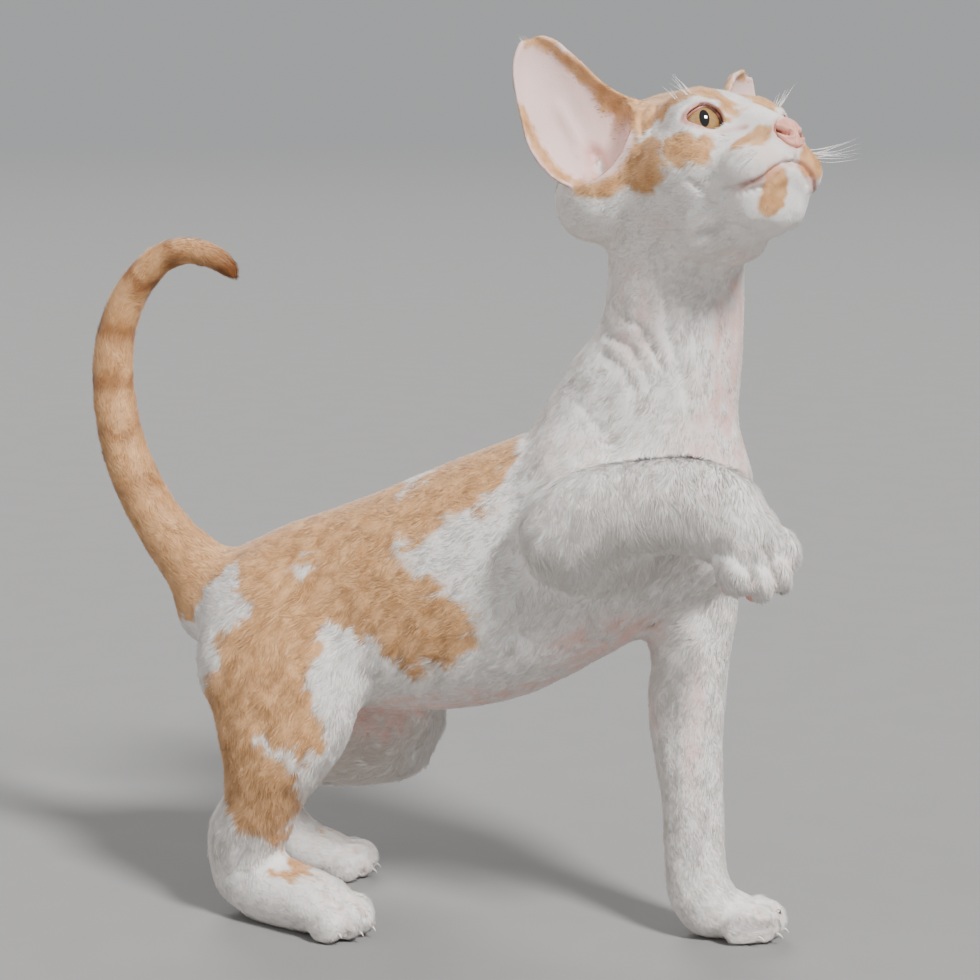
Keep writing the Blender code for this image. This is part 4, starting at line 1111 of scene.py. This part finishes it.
# The claws: small hooked horn tips, mostly sheathed between the fur of each toe. One is drawn out
# of a disc ring by ring along its hook, and the rest are copies of it.
CLAW_RINGS = [
    ((1.0, 0.0, -0.1), 0.85), ((0.9, 0.0, -0.4), 0.8), ((0.7, 0.0, -0.6), 0.7), ((0.4, 0.0, -0.7), 0.5),
]
CLAW_WIDTH = 0.6
bpy.ops.object.select_all(action="DESELECT")
bpy.ops.mesh.primitive_circle_add(
    vertices=8, radius=CLAW_WIDTH, fill_type="NGON", rotation=(0, math.pi / 2, 0),
)
claw = bpy.context.object
bpy.ops.object.transform_apply(location=True, rotation=True, scale=True)
bpy.ops.object.mode_set(mode="EDIT")
bpy.ops.mesh.select_mode(type="FACE")
bpy.ops.mesh.select_all(action="SELECT")
for move, scale in CLAW_RINGS:
    bpy.ops.mesh.extrude_region_move(TRANSFORM_OT_translate={"value": move})
    bpy.ops.transform.resize(value=(scale, scale, scale))
bpy.ops.mesh.select_all(action="SELECT")
bpy.ops.mesh.normals_make_consistent(inside=False)
bpy.ops.object.mode_set(mode="OBJECT")
claws = []
for paw in PAWS:
    for ahead, left in TOES:
        tip = (ahead + 6.3, left * 1.02, 5.6)
        points_of_claw = read(claw.data, "vertices", "co", 3).astype(float) + tip
        each = bpy.data.objects.new("claw", claw.data.copy())
        bpy.context.scene.collection.objects.link(each)
        place = paw_place(paw)
        set_points(each.data, np.array([at(*(place @ Vector(point))) for point in points_of_claw]))
        claws.append(each)
bpy.data.objects.remove(claw)
pick(*claws)
bpy.ops.object.join()
claws = bpy.context.object
claws.name = claws.data.name = "claws"
claws.data.shade_smooth()
claws.data.materials.append(material("claw_horn", lambda start: {
    "Base Color": start.node("TexNoise", inputs={
        "Vector": start.node("TexCoord", output=3), "Scale": 500.0,
    }).mix((0.78, 0.66, 0.58, 1), (0.86, 0.78, 0.70, 1)),
}, Roughness=0.3, Coat_Weight=0.3))
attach(claws, "root")

# The pads: soft pink cushions under the raised paw, and the small carpal pad behind each wrist.
# Each is a flattened ball half sunk in the skin.
PADS = [
    ("forepaw_right", (-5.5, 0, 0.6), (6.0, 7.6, 2.2)), ("forepaw_right", (5.6, -10.8, 0.9), (3.6, 2.9, 2.0)),
    ("forepaw_right", (11.0, -3.9, 0.9), (3.8, 3.0, 2.0)),
    ("forepaw_right", (11.0, 3.9, 0.9), (3.8, 3.0, 2.0)),
    ("forepaw_right", (5.6, 10.8, 0.9), (3.6, 2.9, 2.0)), ("forepaw_right", (-21, 4, 3.0), (2.6, 2.4, 2.4)),
    ("forepaw_left", (-24.5, -4.5, 14.5), (2.6, 2.2, 2.8)),
]
pads = []
for paw, middle, radii in PADS:
    bpy.ops.object.select_all(action="DESELECT")
    bpy.ops.mesh.primitive_uv_sphere_add(segments=20, ring_count=12, radius=1.0)
    pad = bpy.context.object
    place = paw_place(paw)
    places = read(pad.data, "vertices", "co", 3).astype(float) * radii + middle
    set_points(pad.data, np.array([at(*(place @ Vector(point))) for point in places]))
    pads.append(pad)
pick(*pads)
bpy.ops.object.join()
pads = bpy.context.object
pads.name = pads.data.name = "paw_pads"
pads.data.shade_smooth()


def pad_finish(start):
    """Fine-grained pink skin."""
    places = start.node("TexCoord", output=3)
    grain = start.node("TexVoronoi", inputs={"Vector": places, "Scale": 1300.0})
    tone = start.node("TexNoise", inputs={"Vector": places, "Scale": 200.0})
    return {
        "Base Color": tone.step(0.3, 0.7).mix((0.72, 0.36, 0.30, 1), (0.80, 0.46, 0.39, 1)),
        "Normal": start.node("Bump", inputs={"Strength": 0.4, "Distance": 0.0002, "Height": grain}),
    }


pads.data.materials.append(material("pad_skin", pad_finish, Roughness=0.5, Subsurface_Weight=0.1,
                                    Subsurface_Scale=0.002))
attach(pads, "root")

# The whiskers and the fine hairs of the brows, cheeks and ear tips: crinkled, tapered, white. One
# is drawn out of a disc ring by ring, and the rest are bent copies of it.
SHAFT_RINGS = 7
bpy.ops.object.select_all(action="DESELECT")
bpy.ops.mesh.primitive_circle_add(vertices=5, radius=1.0, fill_type="NGON")
shaft = bpy.context.object
bpy.ops.object.mode_set(mode="EDIT")
bpy.ops.mesh.select_mode(type="FACE")
bpy.ops.mesh.select_all(action="SELECT")
for ring_number in range(SHAFT_RINGS):
    bpy.ops.mesh.extrude_region_move(TRANSFORM_OT_translate={"value": (0, 0, 1 / SHAFT_RINGS)})
    shrink = (SHAFT_RINGS - ring_number - 0.8) / (SHAFT_RINGS - ring_number + 0.2)
    bpy.ops.transform.resize(value=(shrink, shrink, 1))
bpy.ops.mesh.select_all(action="SELECT")
bpy.ops.mesh.normals_make_consistent(inside=False)
bpy.ops.object.mode_set(mode="OBJECT")
SHAFT = read(shaft.data, "vertices", "co", 3).astype(float)

# Each set: middle of the roots, their spread, the way they point, the bow at the tip, how many,
# their length and their thickness, in the head's frame and in millimetres
WHISKERS = [
    ((26, 13, -21), (3.5, 2.5, 3.5), (0.72, 0.62, -0.18), (0.0, 0.1, 0.25), 12, 17, 0.20),
    ((25, -17, -24), (3.5, 1.5, 3.0), (0.35, -0.90, -0.20), (-0.2, 0.0, -0.2), 10, 13, 0.13),
    ((0, -23, 9.5), (4.0, 1.5, 1.0), (-0.25, -0.45, 0.86), (-0.3, 0.0, 0.1), 8, 9, 0.21),
    ((4, 20, 8), (4.0, 1.5, 1.5), (0.35, 0.45, 0.82), (0.2, 0.0, 0.1), 8, 10, 0.20),
    ((24, 0, -46), (3.0, 3.0, 1.5), (0.4, 0.0, -0.9), (-0.3, 0.0, 0.0), 4, 4, 0.10),
    ((-50, -57, 48), (1.8, 1.8, 1.0), (-0.55, -0.25, 0.80), (-0.2, 0.2, 0.2), 9, 5, 0.09),
    ((-50, 58, 48), (1.8, 1.8, 1.0), (-0.55, 0.25, 0.80), (-0.2, -0.2, 0.2), 9, 5, 0.09),
]
scan = BVHTree.FromPolygons([Vector(point) for point in points], triangles.tolist())
chance = np.random.default_rng(31)
hairs = []
for middle, spread, way, bow, count, length, thick in WHISKERS:
    for _ in range(count):
        guess = np.array(middle) + chance.uniform(-1, 1, 3) * spread
        root = in_head(np.array([scan.find_nearest(at_head(*guess))[0]]))[0]
        ahead = unit(np.array(way) + chance.normal(0, 0.16, 3))
        beside = unit(np.cross(ahead, (0.3, 0.5, 0.81)))
        above = np.cross(ahead, beside)
        long = length * chance.uniform(0.55, 1.15)
        run = SHAFT[:, 2:3] * long
        crimp = 0.035 * long * np.sin(SHAFT[:, 2:3] * chance.uniform(5, 9) + chance.uniform(0, 6))
        bow_here = np.array(bow) * long * chance.uniform(0.4, 1.3)
        bent = root + ahead * (run - 0.6) + bow_here * SHAFT[:, 2:3] ** 2
        bent = bent + beside * (SHAFT[:, :1] * thick + crimp * SHAFT[:, 2:3]) + above * SHAFT[:, 1:2] * thick
        each = bpy.data.objects.new("whisker", shaft.data.copy())
        bpy.context.scene.collection.objects.link(each)
        set_points(each.data, np.array([at_head(*place) for place in bent]))
        hairs.append(each)
bpy.data.objects.remove(shaft)
pick(*hairs)
bpy.ops.object.join()
whiskers = bpy.context.object
whiskers.name = whiskers.data.name = "whiskers"
whiskers.data.shade_smooth()
whiskers.data.materials.append(material("whisker_hair", lambda start: {
    "Base Color": start.node("TexNoise", inputs={
        "Vector": start.node("TexCoord", output=3), "Scale": 300.0,
    }).mix((0.86, 0.84, 0.82, 1), (0.95, 0.94, 0.92, 1)),
}, Roughness=0.35))
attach(whiskers, "root")

# The studio: a wide grey paper floor that fades into the backdrop far off, lit by broad soft
# lamps: the key from above and ahead, and weaker ones from behind and from the tail's side.
FLOOR_RADIUS = 40.0
PAPER = ((0.26, 0.255, 0.25, 1), (0.28, 0.275, 0.27, 1))
BACKDROP, BACKDROP_POWER = (0.90, 0.91, 0.93, 1), 0.45
bpy.ops.object.select_all(action="DESELECT")
bpy.ops.mesh.primitive_circle_add(vertices=96, radius=FLOOR_RADIUS, fill_type="NGON", location=at(0, 0, 0))
floor = bpy.context.object
floor.name = "floor"


def floor_finish(start):
    """Paper near the kitten, and the backdrop's own light far away."""
    places = start.node("TexCoord", output=3)
    parts = start.node("SeparateXYZ", inputs={0: places})
    across = Socket(start.tree, parts.output.node.outputs[0])
    back = Socket(start.tree, parts.output.node.outputs[1])
    far = (across * across + back * back).math("SQRT").step(1.2, 9.0)
    grain = start.node("TexNoise", inputs={"Vector": places, "Scale": 30.0})
    black = (0, 0, 0, 1)
    return {"Base Color": far.mix(grain.mix(*PAPER), black), "Emission Color": far.mix(black, BACKDROP)}


floor.data.materials.append(material("floor_paper", floor_finish, Roughness=0.9, Specular_IOR_Level=0.0,
                                     Emission_Strength=BACKDROP_POWER))

# Each sun: where it stands seen from the kitten, its strength and its breadth in degrees
SUNS = [
    ("key", (900, -700, 1100), 5.2, 11),
    ("fill", (-900, -900, 500), 0.7, 60),
    ("rim", (-500, 900, 900), 1.8, 30),
]
for name, place, power, breadth in SUNS:
    turn = Vector(place).to_track_quat("Z", "Y").to_euler()
    bpy.ops.object.light_add(type="SUN", location=at(*place), rotation=turn)
    lamp = bpy.context.object
    lamp.name = name
    lamp.data.angle = math.radians(breadth)
    lamp.data.energy = power
# A small low lamp ahead of the face gives the eyes their catchlights.
CATCH_PLACE, CATCH_SIZE, CATCH_POWER = (400, -500, 60), 0.035, 0.12
turn = (at(*CATCH_PLACE) - at_head(0, 0, 0)).to_track_quat("Z", "Y").to_euler()
bpy.ops.object.light_add(type="AREA", location=at(*CATCH_PLACE), rotation=turn)
lamp = bpy.context.object
lamp.name = "catchlight"
lamp.data.size = CATCH_SIZE
lamp.data.energy = CATCH_POWER
lamp.visible_camera = False
world = bpy.data.worlds.new("studio")
world.use_nodes = True
world.node_tree.nodes["Background"].inputs["Color"].default_value = BACKDROP
world.node_tree.nodes["Background"].inputs["Strength"].default_value = BACKDROP_POWER
bpy.context.scene.world = world
